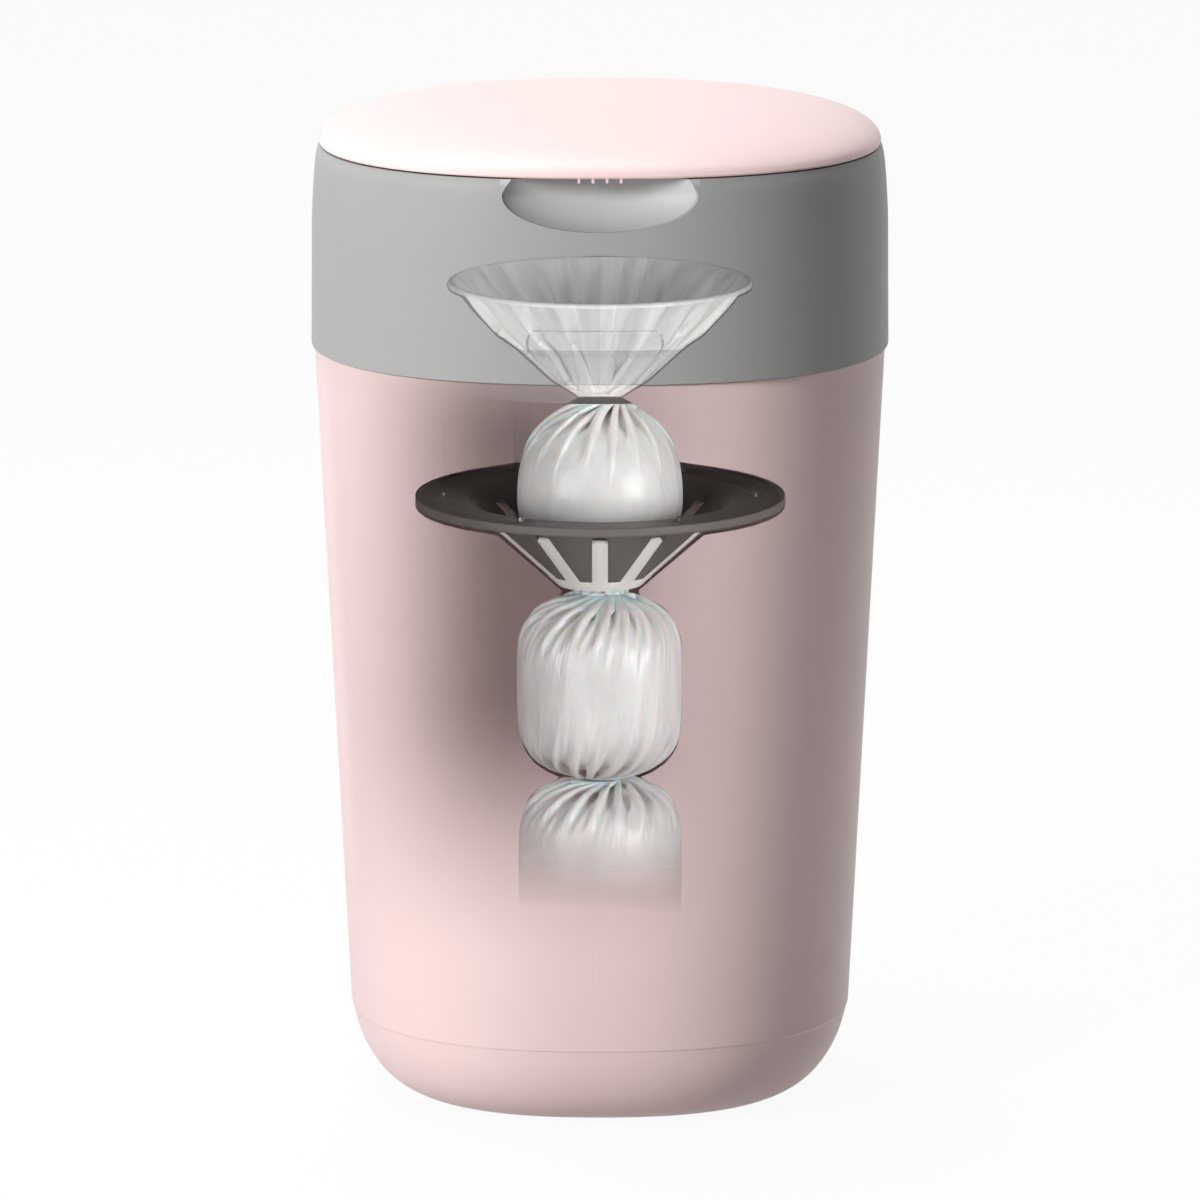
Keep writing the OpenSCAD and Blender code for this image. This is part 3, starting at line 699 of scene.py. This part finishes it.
def arc_length(half, power, roll_r):
    """The way over a quarter of the roll's outline, from its side to its end."""
    angle = np.linspace(0, math.pi / 2, 200)
    across = roll_r * np.cos(angle) ** (2 / power)
    up = half * np.sin(angle) ** (2 / power)
    return float(np.hypot(np.diff(across), np.diff(up)).sum())


def build_parcel(name, top, low, roll, turns, seed, limit=None):
    middle, roll_r, up, down, power_up, power_down = roll
    rows = 92
    sleeve_r = roll_r - 0.1
    high_z = middle + arc_length(up, power_up, roll_r) + top - middle - up - 9
    low_z = middle - arc_length(down, power_down, roll_r) - (middle - low - down) + 9
    points = film_tube(sleeve_r, high_z, low_z, rows, COLUMNS, seed)
    wide = circle(sleeve_r, COLUMNS)
    necks = [gathered(COLUMNS, 17 + 3 * i, 7.2 - 0.9 * i, 2.2, seed * 2.1 + i)
             for i in (0, 1)]

    def hold(film, share):
        for row, neck, start, end, way in ((0, necks[0], high_z, top - 0.3, 1),
                                           (-1, necks[1], low_z, low + 0.3, -1)):
            angle = way * turns * math.tau * share ** 1.5
            film[row, :, :2] = turned(wide * (1 - share) + neck * share, angle)
            film[row, :, 2] = start * (1 - share) + end * share

    def keep_out(film):
        z = film[..., 2] - middle
        half = np.where(z > 0, up, down)
        power = np.where(z > 0, power_up, power_down)
        inside = ((from_axis(film) / roll_r) ** power + (np.abs(z) / half) ** power) ** (1 / power)
        touching = inside < 1
        grow = np.where(touching, 1 / np.maximum(inside, 0.3), 1.0)
        film[..., :2] *= grow[..., None]
        film[..., 2] = middle + z * grow
        if limit is not None:
            draw_in(film, limit(film[..., 2]))
        return touching

    film = settle(points, hold, keep_out, PARCEL_STEPS)
    film[..., 2] = np.clip(film[..., 2], low + 0.1, top - 0.1)
    draw_in(film, PARCEL_R - 0.2)
    return film_object(name, film, True)


for i, (top, low, roll, turns) in enumerate(zip(PARCEL_TOPS, PARCEL_LOWS, ROLLS,
                                                (0.22, 0.26, 0.2)), 1):
    parcel = build_parcel(f"parcel_{i}", top, low, roll, turns, i + 3,
                          bowl_limit if i == 1 else None)
    dress(parcel, "hub", parcel_skin, "wrapped_nappy", f"wrapped_parcel_{i}")

# %% [markdown]
# ## Where the shells turn clear
#
# The illustration cuts no hole. It lets the claw and the parcels show through the wall with
# their own outline, over a soft shade on their left, and the film funnel shows faintly through
# the collar. Both are masks on the object's own coordinates. A line of sight rises towards the
# front, so a place on the wall is first moved along it to the plane through the bin's axis.
# The outlines are measured on the pieces, moved to the same plane.

# %% Outlines of what is inside
EYE_Y, EYE_Z = -EYE.y / MM, EYE.z / MM
STOPS = 32
WIDEST = 200        # the half width in mm that a ramp shows as white


def silhouette(objects, low, high, count):
    """Half widths in mm at count heights, of objects moved to the plane through the axis."""
    spots = []
    for obj in objects:
        mesh = obj.data
        place = np.empty(len(mesh.vertices) * 3)
        mesh.vertices.foreach_get("co", place)
        ends = np.empty(len(mesh.edges) * 2, int)
        mesh.edges.foreach_get("vertices", ends)
        place, ends = place.reshape(-1, 3) / MM, ends.reshape(-1, 2)
        first, second = place[ends[:, 0]], place[ends[:, 1]]
        pieces = 1 if len(ends) > 50000 else 24
        spots += [first + (second - first) * i / pieces for i in range(pieces)]
    x, y, z = np.concatenate(spots).T
    level = z + y * (EYE_Z - z) / EYE_Y
    across = np.abs(x) * (1 - y / EYE_Y)
    step = (high - low) / (count - 1)
    row = np.round((level - low) / step).astype(int)
    half = np.zeros(count)
    kept = (row >= 0) & (row < count)
    np.maximum.at(half, row[kept], across[kept])
    return half


def opened(f, level, half, low, high):
    """1 where a place is inside the outline, which is held in colour ramps of STOPS heights."""
    runs = (len(half) - 1) // (STOPS - 1)
    span = (high - low) / runs
    total = None
    for run in range(runs):
        part = half[run * (STOPS - 1):(run + 1) * (STOPS - 1) + 1]
        share = (level - (low + run * span)) / span
        stops = [(i / (STOPS - 1), (*[h / WIDEST] * 3, 1)) for i, h in enumerate(part)]
        ramp = f.start.node("ShaderNodeValToRGB", {"stops": stops}, {"Fac": share})
        inside = share.math("GREATER_THAN", 0) * share.math("LESS_THAN", 1)
        total = ramp * inside if total is None else total + ramp * inside
    return (total * WIDEST - f.x.size() * (1 - f.y / EYE_Y)).step(-0.2, 0.7)


SHOWN_LOW, SHOWN_HIGH = PARCEL_LOWS[2], PARCEL_TOPS[0] + 0.5
parcels = [bpy.data.objects[f"parcel_{i}"] for i in (1, 2, 3)]
claw = [frame["nodes"][name] for name in ("claw_petals", "claw_web")]
shown_half = silhouette([*parcels, *claw], SHOWN_LOW, SHOWN_HIGH, 4 * (STOPS - 1) + 1)
VEIL_LOW, VEIL_HIGH = FUNNEL_LOW, FUNNEL_HIGH + FUNNEL_R * 0.18
veil_half = silhouette([film_veil], VEIL_LOW, VEIL_HIGH, 2 * (STOPS - 1) + 1)
print("widest", round(shown_half.max(), 1), "and", round(veil_half.max(), 1))

# %% Masks that open the shells over what is inside
FADE = (PARCEL_LOWS[2] + 22, PARCEL_LOWS[2] + 70)   # the heights over which parcel 3 fades in
SHADE_LEFT, SHADE_RIGHT = (-140, -40), (-20, 66)    # how the shade comes and goes in x
SHADE_FOOT, SHADE_HEAD = (46, 185), (300, 345)      # and in height
SHADE, SHADE_EASE, FUNNEL_CLEAR = 0.87, 0.25, 0.8


def seen_level(f):
    """The height at which the line of sight through a place crosses the plane of the axis."""
    return f.z + f.y * ((EYE_Z - f.z) / EYE_Y)


def funnel_outline(f):
    """1 inside the film funnel's outline."""
    return opened(f, seen_level(f), veil_half, VEIL_LOW, VEIL_HIGH)


def front_only(f):
    """1 on the front of a shell, but 0 for a lamp's rays, which a shell always stops."""
    return (1 - f.y.step(-60, -40)) * (1 - f.shadow())


def tub_window(f):
    """How clear the tub's wall is: 1 over the claw and the parcels, 0 far from them."""
    level = seen_level(f)
    clear = opened(f, level, shown_half, SHOWN_LOW, SHOWN_HIGH) * level.step(*FADE) ** 0.5
    shade = f.x.step(*SHADE_LEFT) * (1 - f.x.step(*SHADE_RIGHT)) * level.step(*SHADE_FOOT)
    shade = shade * (1 - level.step(*SHADE_HEAD) * SHADE_EASE) * SHADE
    return clear.most(shade).most(funnel_outline(f) * FUNNEL_CLEAR) * front_only(f)


print("masks ready")

# %% [markdown]
# ## The plastics
#
# Every shell is injection moulded. The pink is smooth with a satin gloss, the grey is spark
# eroded, which leaves a fine even grain that breaks up its highlights, and the claw is a dark
# nylon. A moulding varies a little where the melt flowed, so each gets slow colour drift, a
# grain in the normal, and a roughness that wanders by a few per cent. The collar's finger
# scoop gets a lighter grey painted in, which stands in for the light that falls into it.

# %% Moulded plastic
PLATE_X = (-32.7, 28.3)
PLATE_Z = (359.8, 371.5)
SKIN_CLEAR = 0.62                       # how clear the collar's skin is over the funnel
# The outline of the scoop's painted light: a lighter grey that stands in for the light in it.
LIT_SCOOP_HALF, LIT_SCOOP_DROP, LIT_SCOOP_Z = 44.5, 17.5, 428      # the scoop's outline


def plastic(name, colour, roughness, grain, drift=0.04, clear=None, painted_light=None):
    """A moulded plastic. grain is the depth of its texture in metres, and where the painted-light
    mask is 1 a lighter grey stands in for light.
    """
    f = Finish(name)
    slow = f.noise(9, 2)
    fine = f.noise(2600, 2, 0.6)
    darker = tuple(c * (1 - drift) for c in colour[:3]) + (1.0,)
    inputs = {
        "Base_Color": f.between(slow, darker, colour),
        "Roughness": roughness + (f.noise(40, 2) - 0.5) * 0.08,
        "Normal": f.bump(fine, grain),
        "Specular_IOR_Level": 0.16,
    }
    # Painted light: a lighter grey where the mask is 1, standing in for light that falls into a
    # hollow.
    if painted_light:
        inputs["Base_Color"] = f.between(painted_light(f), inputs["Base_Color"], srgb(196, 196, 195))
    if clear:
        inputs["Alpha"] = 1 - clear(f)
    return f.shade(**inputs)


def behind_skin(f, low=0.8, high=1.6):
    """1 behind the collar's outer surface, which has curved back 4.5 mm at x = 45, 0 on it."""
    wall = -COLLAR_R + ((f.x.size() / 45) ** 2.4) * 4.5
    return (f.y - wall).step(low, high)


def under_plate(f):
    """1 where the plate covers the collar's skin, which then need not show as well."""
    (left, right), (low, high) = PLATE_X, PLATE_Z
    wide, tall = (right - left) / 2, (high - low) / 2
    beside = (f.x - (left + right) / 2).size().step(wide - 0.8, wide - 1.6)
    return beside * (f.z - (low + high) / 2).size().step(tall, tall - 0.6)


def scoop_painted_light(f):
    """1 in the finger scoop, where a lighter grey is painted in for the light that falls into it.
    """
    bowl = (f.x / LIT_SCOOP_HALF) ** 2.0 + ((f.z - LIT_SCOOP_Z).least(0) / LIT_SCOOP_DROP) ** 2.0
    return behind_skin(f, 2.4, 3.2) * (1 - bowl.step(0.94, 1.02)) * (1 - f.y.step(-90, -80))


def over_funnel(f, behind):
    """Opens a front piece over the funnel: by SKIN_CLEAR, and quite where behind is 1."""
    return funnel_outline(f) * (behind * (1 - SKIN_CLEAR) + SKIN_CLEAR) * front_only(f)


def collar_window(f):
    return over_funnel(f, behind_skin(f).most(under_plate(f)))


def plate_window(f):
    """The plate's face is as clear as the skin round it, and its back quite clear."""
    return over_funnel(f, behind_skin(f, -0.25, 0.0))


PINK = srgb(243, 217, 215)
GREY = srgb(170, 170, 169)
pink_tub = plastic("pink_tub", PINK, 0.4, 0.00001, clear=tub_window)
pink_lid = plastic("pink_lid", PINK, 0.38, 0.00001)
# The collar's scoop gets painted light: a lighter grey for the light that falls into it.
grey_collar = plastic("grey_collar", GREY, 0.46, 0.00003, painted_light=scoop_painted_light, clear=collar_window)
grey_inside = plastic("grey_inside", GREY, 0.52, 0.00003)
dark_claw = plastic("dark_claw", srgb(112, 107, 103), 0.46, 0.00002, drift=0.12)
dark_grip = plastic("dark_grip", srgb(84, 82, 80), 0.5, 0.00003, drift=0.1)
white_moulding = plastic("white_moulding", srgb(232, 231, 228), 0.4, 0.00001)
print("plastics ready")

# %% [markdown]
# ## Works that the illustration leaves out
#
# Between the collar and the film funnel the real bin has a drum, a cassette and the dial's
# skirt. The illustration leaves their near halves out, so that the funnel shows. Their
# materials do the same: the near half is clear inside the funnel's outline, and so are the
# drum's front and side legs.

# %% Plastics with their near half clear over the funnel


def near_half(f):
    """Clear over the funnel, on the near side of the bin's axis."""
    return funnel_outline(f) * (1 - f.y.step(-12, -4))


def before_back_legs(f):
    return 1 - f.y.step(34, 38)


def drum_window(f):
    """Clear over the funnel on the near side, and over the drum's front and side legs."""
    return near_half(f).most((1 - f.z.step(327, 331)) * before_back_legs(f))


def screw_window(f):
    """Clear where a claw screw would stand in one of the clear legs."""
    return before_back_legs(f) * f.z.step(CLAW_Z + 0.5, CLAW_Z + 1.5)


grey_drum = plastic("grey_drum", GREY, 0.52, 0.00003, clear=drum_window)
white_skirt = plastic("white_skirt", srgb(228, 227, 224), 0.42, 0.00001, clear=near_half)
grey_plate = plastic("grey_plate", GREY, 0.46, 0.00003, clear=plate_window)
seal_rubber = rubber("seal_rubber", near_half)
claw_steel = steel("claw_steel", screw_window)
print("works ready")

# %% [markdown]
# ## The tub
#
# The tub's wall leans out by about three degrees, so that it leaves its mould, and it turns
# in to the base through a generous curve. A faint crease runs round it where the wall ends
# and the base begins. Its neck steps in at the top, where the collar slides over it.

# %% The tub
TUB_R = half_width("tub")
TUB_LOW, NECK_TOP = low_high("tub")
SHOULDER_Z = COLLAR_LOW - 0.3
WALL = 2.6
DRAFT = math.tan(math.radians(2.8))
CREASE_Z = 39.5
CREASE_R = TUB_R - (SHOULDER_Z - CREASE_Z) * DRAFT
FOOT_R = 82
FOOT_RING = 13
FLOOR_LOW = TUB_LOW + 2
BASE_RUN = 50
NECK_R = TUB_R - 1.7


def base_curve(inset, count):
    """The curve from the foot ring up to the crease, moved in by inset."""
    top = math.acos(1 - (CREASE_Z - TUB_LOW) / BASE_RUN)
    run = (CREASE_R - FOOT_R) / math.sin(top)
    points = []
    for i in range(count + 1):
        angle = top * i / count
        points.append((FOOT_R + (run - inset) * math.sin(angle),
                       TUB_LOW + inset + (BASE_RUN - inset) * (1 - math.cos(angle))))
    return points


def build_tub():
    outer = base_curve(0, 28)
    outer = [(r - 0.55, z) for r, z in outer[:-1]] + [(CREASE_R - 0.6, CREASE_Z - 0.5)]
    ring = FOOT_R - FOOT_RING
    outside = [(0, FLOOR_LOW), (ring - 1, FLOOR_LOW), (ring, TUB_LOW), *outer,
               (CREASE_R - 0.1, CREASE_Z + 0.1), (TUB_R, SHOULDER_Z), (NECK_R, SHOULDER_Z),
               (NECK_R, NECK_TOP), (NECK_R - 2.4, NECK_TOP), (NECK_R - 2.4, SHOULDER_Z - 4),
               (TUB_R - WALL - 0.4, SHOULDER_Z - 8)]
    inside = base_curve(WALL, 14)[2:]
    inside.reverse()
    path = [*outside, *inside, (FOOT_R, FLOOR_LOW + WALL), (0, FLOOR_LOW + WALL)]
    return made_object("tub_shell", squared(spun(rounded(path, 0.7, 3))), 50)


dress(build_tub(), "tub", pink_tub, "pink_plastic", "tub")

# %% [markdown]
# ## The collar and its scoop
#
# The collar is the hub's outer wall. It draws in softly at the top, and a finger scoop is
# pressed into its front, so that a hand can reach under the lid. The scoop is half of a
# flattened bowl, wider than it is deep. It is a second spin, scaled front to back, and cut
# out of the wall. A slightly larger bowl, trimmed to the collar's outside, closes the back.

# %% The collar
TOP_Z = low_high("lid_liner")[1] - 2.6
DECK_LOW = low_high("top_deck")[1] - 3
SEAL_HIGH = low_high("rim_seal")[1]
BEND_Z = COLLAR_LOW + 0.64 * (TOP_Z - COLLAR_LOW)   # where the wall starts to draw in
SHOULDER = 3.3
INNER_R = COLLAR_R - 5
SCOOP_HALF, SCOOP_DROP, SCOOP_DEEP = 45.5, 16.5, 19
SCOOP_Z = TOP_Z - 6.5

collar_outside = [
    (COLLAR_R + 0.5, COLLAR_LOW), (COLLAR_R, BEND_Z),
    (COLLAR_R - 0.18 * SHOULDER, TOP_Z - 21), (COLLAR_R - 0.42 * SHOULDER, TOP_Z - 10),
    (COLLAR_R - 0.66 * SHOULDER, TOP_Z - 4), (INNER_R + 1.2, TOP_Z)]


def bowl(grow):
    """The scoop's hollow, grown outwards by a wall, as an object in front of the collar."""
    half = SCOOP_HALF + grow
    drop = SCOOP_DROP + grow
    path = [(half * math.sin(a), SCOOP_Z - drop * math.cos(a)) for a in angles(90, 20)]
    path += [(half * 0.95, TOP_Z - 1.5), (half * 0.9, TOP_Z + 3), (0, TOP_Z + 3)]
    flat = (1, (SCOOP_DEEP + grow) / half, 1)
    return made_object("bowl", placed(spun(path, 128), flat, (0, -COLLAR_R, 0)))


def build_collar():
    inner_wall = COLLAR_R - WALL
    seal_in = NECK_R - 7.4
    soft = rounded(collar_outside, 5, 6)
    path = [*soft, (INNER_R, TOP_Z), (INNER_R, DECK_LOW), (INNER_R - 8, DECK_LOW),
            (INNER_R - 8, DECK_LOW - 2.4), (inner_wall - 0.3, DECK_LOW - 2.4),
            (inner_wall, SEAL_HIGH + 2.4), (seal_in, SEAL_HIGH + 2.4), (seal_in, SEAL_HIGH),
            (inner_wall + 0.5, SEAL_HIGH), (inner_wall + 0.5, COLLAR_LOW)]
    collar = made_object("collar_shell", squared(spun(path, closed=True)))
    solid = made_object("solid", squared(spun([(0, COLLAR_LOW), *soft, (0, TOP_Z)])))
    cup = combine(combine(bowl(2), bowl(0), "DIFFERENCE"), solid, "INTERSECT")
    collar = combine(collar, bowl(0), "DIFFERENCE")
    return combine(collar, cup, "UNION")


collar_shell = build_collar()

# %% [markdown]
# ## The hinge
#
# At the back two lugs rise from the collar and hold a steel pin, and the lid's knuckle turns
# on it between them. A lug is a block with a round end that fairs into the wall below.

# %% Hinge lugs
HINGE_Y, HINGE_Z = (v / MM for v in joint("lid_hinge")["pos_m"][1:])
KNUCKLE_HALF = 20
BARREL_R = 4.2


def lug(x_low, x_high):
    """A round-ended block between two places along the hinge."""
    bm = bmesh.new()
    outline = [(BARREL_R * math.cos(a), BARREL_R * math.sin(a)) for a in angles(180, 16)]
    outline += [(-BARREL_R, TOP_Z - 3 - HINGE_Z), (0, TOP_Z - 3 - HINGE_Z),
                (COLLAR_R - HINGE_Y - 1, TOP_Z - 20 - HINGE_Z),
                (COLLAR_R - HINGE_Y + 0.4, TOP_Z - 20 - HINGE_Z)]
    corners = [bm.verts.new((x_low * MM, (HINGE_Y + y) * MM, (HINGE_Z + z) * MM))
               for y, z in outline]
    face = bm.faces.new(corners)
    grown = bmesh.ops.extrude_face_region(bm, geom=[face])
    moved = [v for v in grown["geom"] if isinstance(v, bmesh.types.BMVert)]
    bmesh.ops.translate(bm, vec=((x_high - x_low) * MM, 0, 0), verts=moved)
    return made_object("lug", outward(bm))


for side in (-1, 1):
    ends = sorted((side * (KNUCKLE_HALF + 0.3), side * (KNUCKLE_HALF + 10.3)))
    collar_shell = combine(collar_shell, lug(*ends), "UNION")
dress(collar_shell, "hub", grey_collar, "grey_plastic", "collar")

# %% [markdown]
# ## The lid
#
# The lid is a low dome on the same superellipse. It is a shell: an outer dome, an inner one,
# and a narrow rim between them. Two notches at the back clear the hinge lugs, a knuckle turns
# on the pin, and four short ribs under the front lip give the fingers a grip.

# %% The lid
LID_Z = TOP_Z + 0.6
LID_R = COLLAR_R - 3.4
LID_RISE = 19.5
LID_WALL = 2.4
DOME_POWER = 2.5


def dome(radius, rise, count):
    """The dome's (radius, height) points from its rim up to its pole."""
    return [(radius * math.sin(a) ** (2 / DOME_POWER), LID_Z + rise * math.cos(a))
            for a in reversed(angles(90, count))]


def block(x, y, z):
    """A box between the low and high ends of x, y and z, in mm."""
    bm = bmesh.new()
    bmesh.ops.create_cube(bm, size=1)
    size = [(high - low) * MM for low, high in (x, y, z)]
    return made_object("block", placed(bm, size, [(high + low) / 2 for low, high in (x, y, z)]))


def build_lid():
    outer = dome(LID_R, LID_RISE, 40)
    inner = dome(LID_R - LID_WALL, LID_RISE - LID_WALL, 24)
    inner.reverse()
    lip = [(LID_R - LID_WALL, LID_Z), (LID_R - 0.9, LID_Z), (LID_R - 0.2, LID_Z + 0.3),
           (LID_R, LID_Z + 1.0)]
    rising = [(r, z) for r, z in outer[1:] if z > LID_Z + 1.2]
    path = [*inner[:-1], *lip, *rising]
    lid = made_object("lid_shell", squared(spun(path)), 50)
    for side in (-1, 1):
        ends = sorted((side * KNUCKLE_HALF, side * (KNUCKLE_HALF + 10.6)))
        notch = block(ends, (HINGE_Y - 5, HINGE_Y + 15), (LID_Z - 1, LID_Z + 19))
        lid = combine(lid, notch, "DIFFERENCE")
    knuckle = bmesh.new()
    bmesh.ops.create_cone(knuckle, cap_ends=True, segments=48, radius1=BARREL_R * MM,
                          radius2=BARREL_R * MM, depth=2 * KNUCKLE_HALF * MM)
    bmesh.ops.rotate(knuckle, matrix=Matrix.Rotation(math.pi / 2, 3, "Y"), verts=knuckle.verts[:])
    placed(knuckle, (1, 1, 1), (0, HINGE_Y, HINGE_Z))
    lid = combine(lid, made_object("knuckle", knuckle), "UNION")
    for x in (-9.3, -3.1, 3.1, 9.3):
        rib = block((x - 0.6, x + 0.6), (-LID_R + 0.7, -LID_R + 2.1), (LID_Z - 2, LID_Z + 0.4))
        lid = combine(lid, rib, "UNION")
    return lid


dress(build_lid(), "lid", pink_lid, "pink_plastic", "lid")

# %% [markdown]
# ## The plate
#
# A thin plate lies on the collar's front. Its outline is a rounded bar with a raised edge, and
# it is bent to the wall by moving each vertex to the collar's surface.

# %% The plate on the collar


def collar_front(x, z):
    """The Y of the collar's outer surface at a place on its front."""
    half = COLLAR_R + 0.5 * (1 - (z - COLLAR_LOW) / (BEND_Z - COLLAR_LOW))
    return -half * (1 - abs(x / half) ** SQUARENESS) ** (1 / SQUARENESS)


def build_plate():
    wide = PLATE_X[1] - PLATE_X[0]
    tall = PLATE_Z[1] - PLATE_Z[0]
    bm = bmesh.new()
    bmesh.ops.create_grid(bm, x_segments=40, y_segments=8, size=0.5)
    corner = 4.0
    for v in bm.verts:
        u, w = v.co.x * wide, v.co.y * tall
        reach = abs(u) - (wide / 2 - corner)
        if reach > 0:
            lift = math.sqrt(max(corner ** 2 - min(reach, corner) ** 2, 0)) / corner
            w *= (tall / 2 - corner + corner * lift) / (tall / 2)
        v.co.x, v.co.y = u, w
    grown = bmesh.ops.extrude_face_region(bm, geom=bm.faces[:])
    front = {v for v in grown["geom"] if isinstance(v, bmesh.types.BMVert)}
    face = [part for part in grown["geom"] if isinstance(part, bmesh.types.BMFace)]
    bmesh.ops.inset_region(bm, faces=face, thickness=1.0, use_even_offset=True)
    field = {v for part in face for v in part.verts}
    bmesh.ops.inset_region(bm, faces=face, thickness=0.3, use_even_offset=True)
    sunk = {v for part in face for v in part.verts}
    for v in bm.verts:
        x, z = sum(PLATE_X) / 2 + v.co.x, sum(PLATE_Z) / 2 + v.co.y
        proud = 0.2 if v in sunk else 0.75 if v in field or v in front else -0.4
        v.co = Vector((x, collar_front(x, z) - proud, z)) * MM
    return made_object("name_plate", outward(bm), 30)


dress(build_plate(), "hub", grey_plate, "grey_plastic")

# %% [markdown]
# ## Rigid pieces straight from the CAD
#
# The drum, dial, claw and screws already have their true shape. Their CAD meshes are loose
# triangles, so a copy of each is merged and its flat triangles are joined. Some also get a small
# bevel on their corners, which is what makes a moulded edge shine.

# %% Merged and bevelled copies


def finished(node, body, material, slot, bevel=0.0, sharp=32):
    """A merged copy of a CAD node, with softened corners where bevel is given, which replaces the
    node.
    """
    bm = bmesh.new()
    bm.from_mesh(frame["nodes"][node].data)
    bmesh.ops.remove_doubles(bm, verts=bm.verts[:], dist=2e-6)
    bmesh.ops.dissolve_limit(bm, angle_limit=math.radians(0.6), verts=bm.verts[:],
                             edges=bm.edges[:], use_dissolve_boundaries=False)
    made = made_object(node + "_finished", bm, sharp)
    if bevel:
        soften = made.modifiers.new("soften", "BEVEL")
        soften.width = bevel * MM
        soften.segments = 2
        soften.limit_method = "ANGLE"
        soften.angle_limit = math.radians(40)
        soften.use_clamp_overlap = True
        applied(made, sharp)
    return dress(made, body, material, slot, node)


finished("claw_petals", "hub", dark_claw, "dark_plastic", 0.25)
finished("claw_web", "hub", white_moulding, "white_plastic", 0.2)
finished("cassette_drum", "hub", grey_drum, "grey_plastic")
finished("top_deck", "hub", grey_inside, "grey_plastic", 0.3)
finished("twist_dial", "dial", white_skirt, "white_plastic")
finished("dial_grips", "dial", dark_grip, "dark_plastic", 0.4)
for node in ("cassette_tub", "cassette_cover", "ratchet_ring"):
    finished(node, "dial", white_skirt, "white_plastic")
finished("film_pack", "dial", white_skirt, "film")
finished("cutter_button", "cutter", dark_grip, "dark_plastic")
finished("lid_liner", "lid", grey_inside, "liner_plastic", 0.3)
finished("lid_seal", "lid", black_rubber, "black_rubber")
finished("rim_seal", "hub", seal_rubber, "black_rubber")
finished("foot_pads", "tub", black_rubber, "black_rubber", 0.3)
finished("claw_screws", "hub", claw_steel, "steel")
for node, body in (("deck_screws", "hub"), ("drum_screws", "hub"), ("hinge_pin", "hub"),
                   ("ratchet_pawl", "hub"), ("cutter_blade", "cutter"), ("lid_screws", "lid")):
    finished(node, body, bright_steel, "steel")
spring = finished("cutter_spring", "dial", bright_steel, "steel")
spring_low, spring_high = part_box("cutter_spring")
press = joint("cutter_press")["range_m"][1]
1 - press / (spring_high.z - spring_low.z)
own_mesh(spring)

# %% [markdown]
# ## The studio
#
# There is no floor line, only white all round. A large soft light comes from the front left
# and little from the right, so that a dark band runs down the right of the bin. White for the
# camera comes from the floor's and the world's colour, not from more light.

# %% Floor and world


def seen(start):
    """1 for rays that show a background: straight, mirrored or through glass."""
    rays = [start.node("ShaderNodeLightPath", {}, {}, f"Is {kind} Ray")
            for kind in ("Camera", "Glossy", "Transmission")]
    return rays[0].most(rays[1]).most(rays[2])


def build_floor():
    bm = bmesh.new()
    bmesh.ops.create_grid(bm, x_segments=1, y_segments=1, size=15)
    floor = made_object("floor", bm)
    f = Finish("pale_floor")
    plain = f.start.node("ShaderNodeBsdfPrincipled", {},
                         {"Base Color": srgb(190, 190, 190), "Roughness": 0.6})
    glow = f.start.node("ShaderNodeEmission", {}, {"Color": (1, 1, 1, 1), "Strength": 1.04})
    mix = f.start.node("ShaderNodeMixShader", {}, {0: seen(f.start) * 0.9, 1: plain, 2: glow})
    f.start.node("ShaderNodeOutputMaterial", {}, {"Surface": mix})
    floor.data.materials.append(f.material)
    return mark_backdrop(floor)


def build_world(fill):
    world = bpy.data.worlds.new("studio")
    world.use_nodes = True
    tree = world.node_tree
    tree.nodes.clear()
    start = Wire(tree, None)
    strength = seen(start) * (1 - fill) + fill
    sky = start.node("ShaderNodeBackground", {}, {"Color": (1, 1, 1, 1), "Strength": strength})
    start.node("ShaderNodeOutputWorld", {}, {"Surface": sky})
    scene.world = world


build_floor()
build_world(0.01)
print("floor and world ready")

# %% Lamps


def soft_box(name, place, target, size, power):
    """A square area lamp at place that faces target."""
    lamp = bpy.data.lights.new(name, "AREA")
    lamp.shape = "SQUARE"
    lamp.size = size
    lamp.energy = power
    made = bpy.data.objects.new(name, lamp)
    made.location = place
    made.rotation_euler = (Vector(target) - Vector(place)).to_track_quat("-Z", "Y").to_euler()
    scene.collection.objects.link(made)
    return made


MIDDLE = (0, 0, 0.25)
soft_box("key", (-1.94, -2.08, 1.5), MIDDLE, 0.9, 84)
soft_box("top", (-0.4, 0.5, 2.7), MIDDLE, 1.4, 52)
soft_box("edge", (2.4, 0.9, 0.9), MIDDLE, 0.8, 7)

# %% [markdown]
# The studio's light hardly reaches what the tub's front shows, so three more lamps are linked
# to those pieces alone: only they are lit, and only they cast shadows. One lamp lights the
# film funnel from below, because its wall faces down.

# %% Lamps for what is inside
shown = bpy.data.collections.new("shown_inside")
for name in ("claw_petals_finished", "claw_web_finished", "film_veil", "parcel_1", "parcel_2",
             "parcel_3"):
    shown.objects.link(bpy.data.objects[name])
only_film = bpy.data.collections.new("only_film")
only_film.objects.link(film_veil)
for name, place, power, lit in (("inner_left", (-2.0, -1.8, 0.55), 38, shown),
                                ("inner_right", (2.0, -1.8, 0.55), 62, shown),
                                ("under_funnel", (-0.5, -1.9, -0.3), 26, only_film)):
    lamp = soft_box(name, place, MIDDLE, 1.2, power)
    lamp.light_linking.receiver_collection = lit
    lamp.light_linking.blocker_collection = lit
scene.view_settings.view_transform = "Standard"
scene.cycles.transparent_max_bounces = 32     # the clear halves are many layers
print("lamps ready")
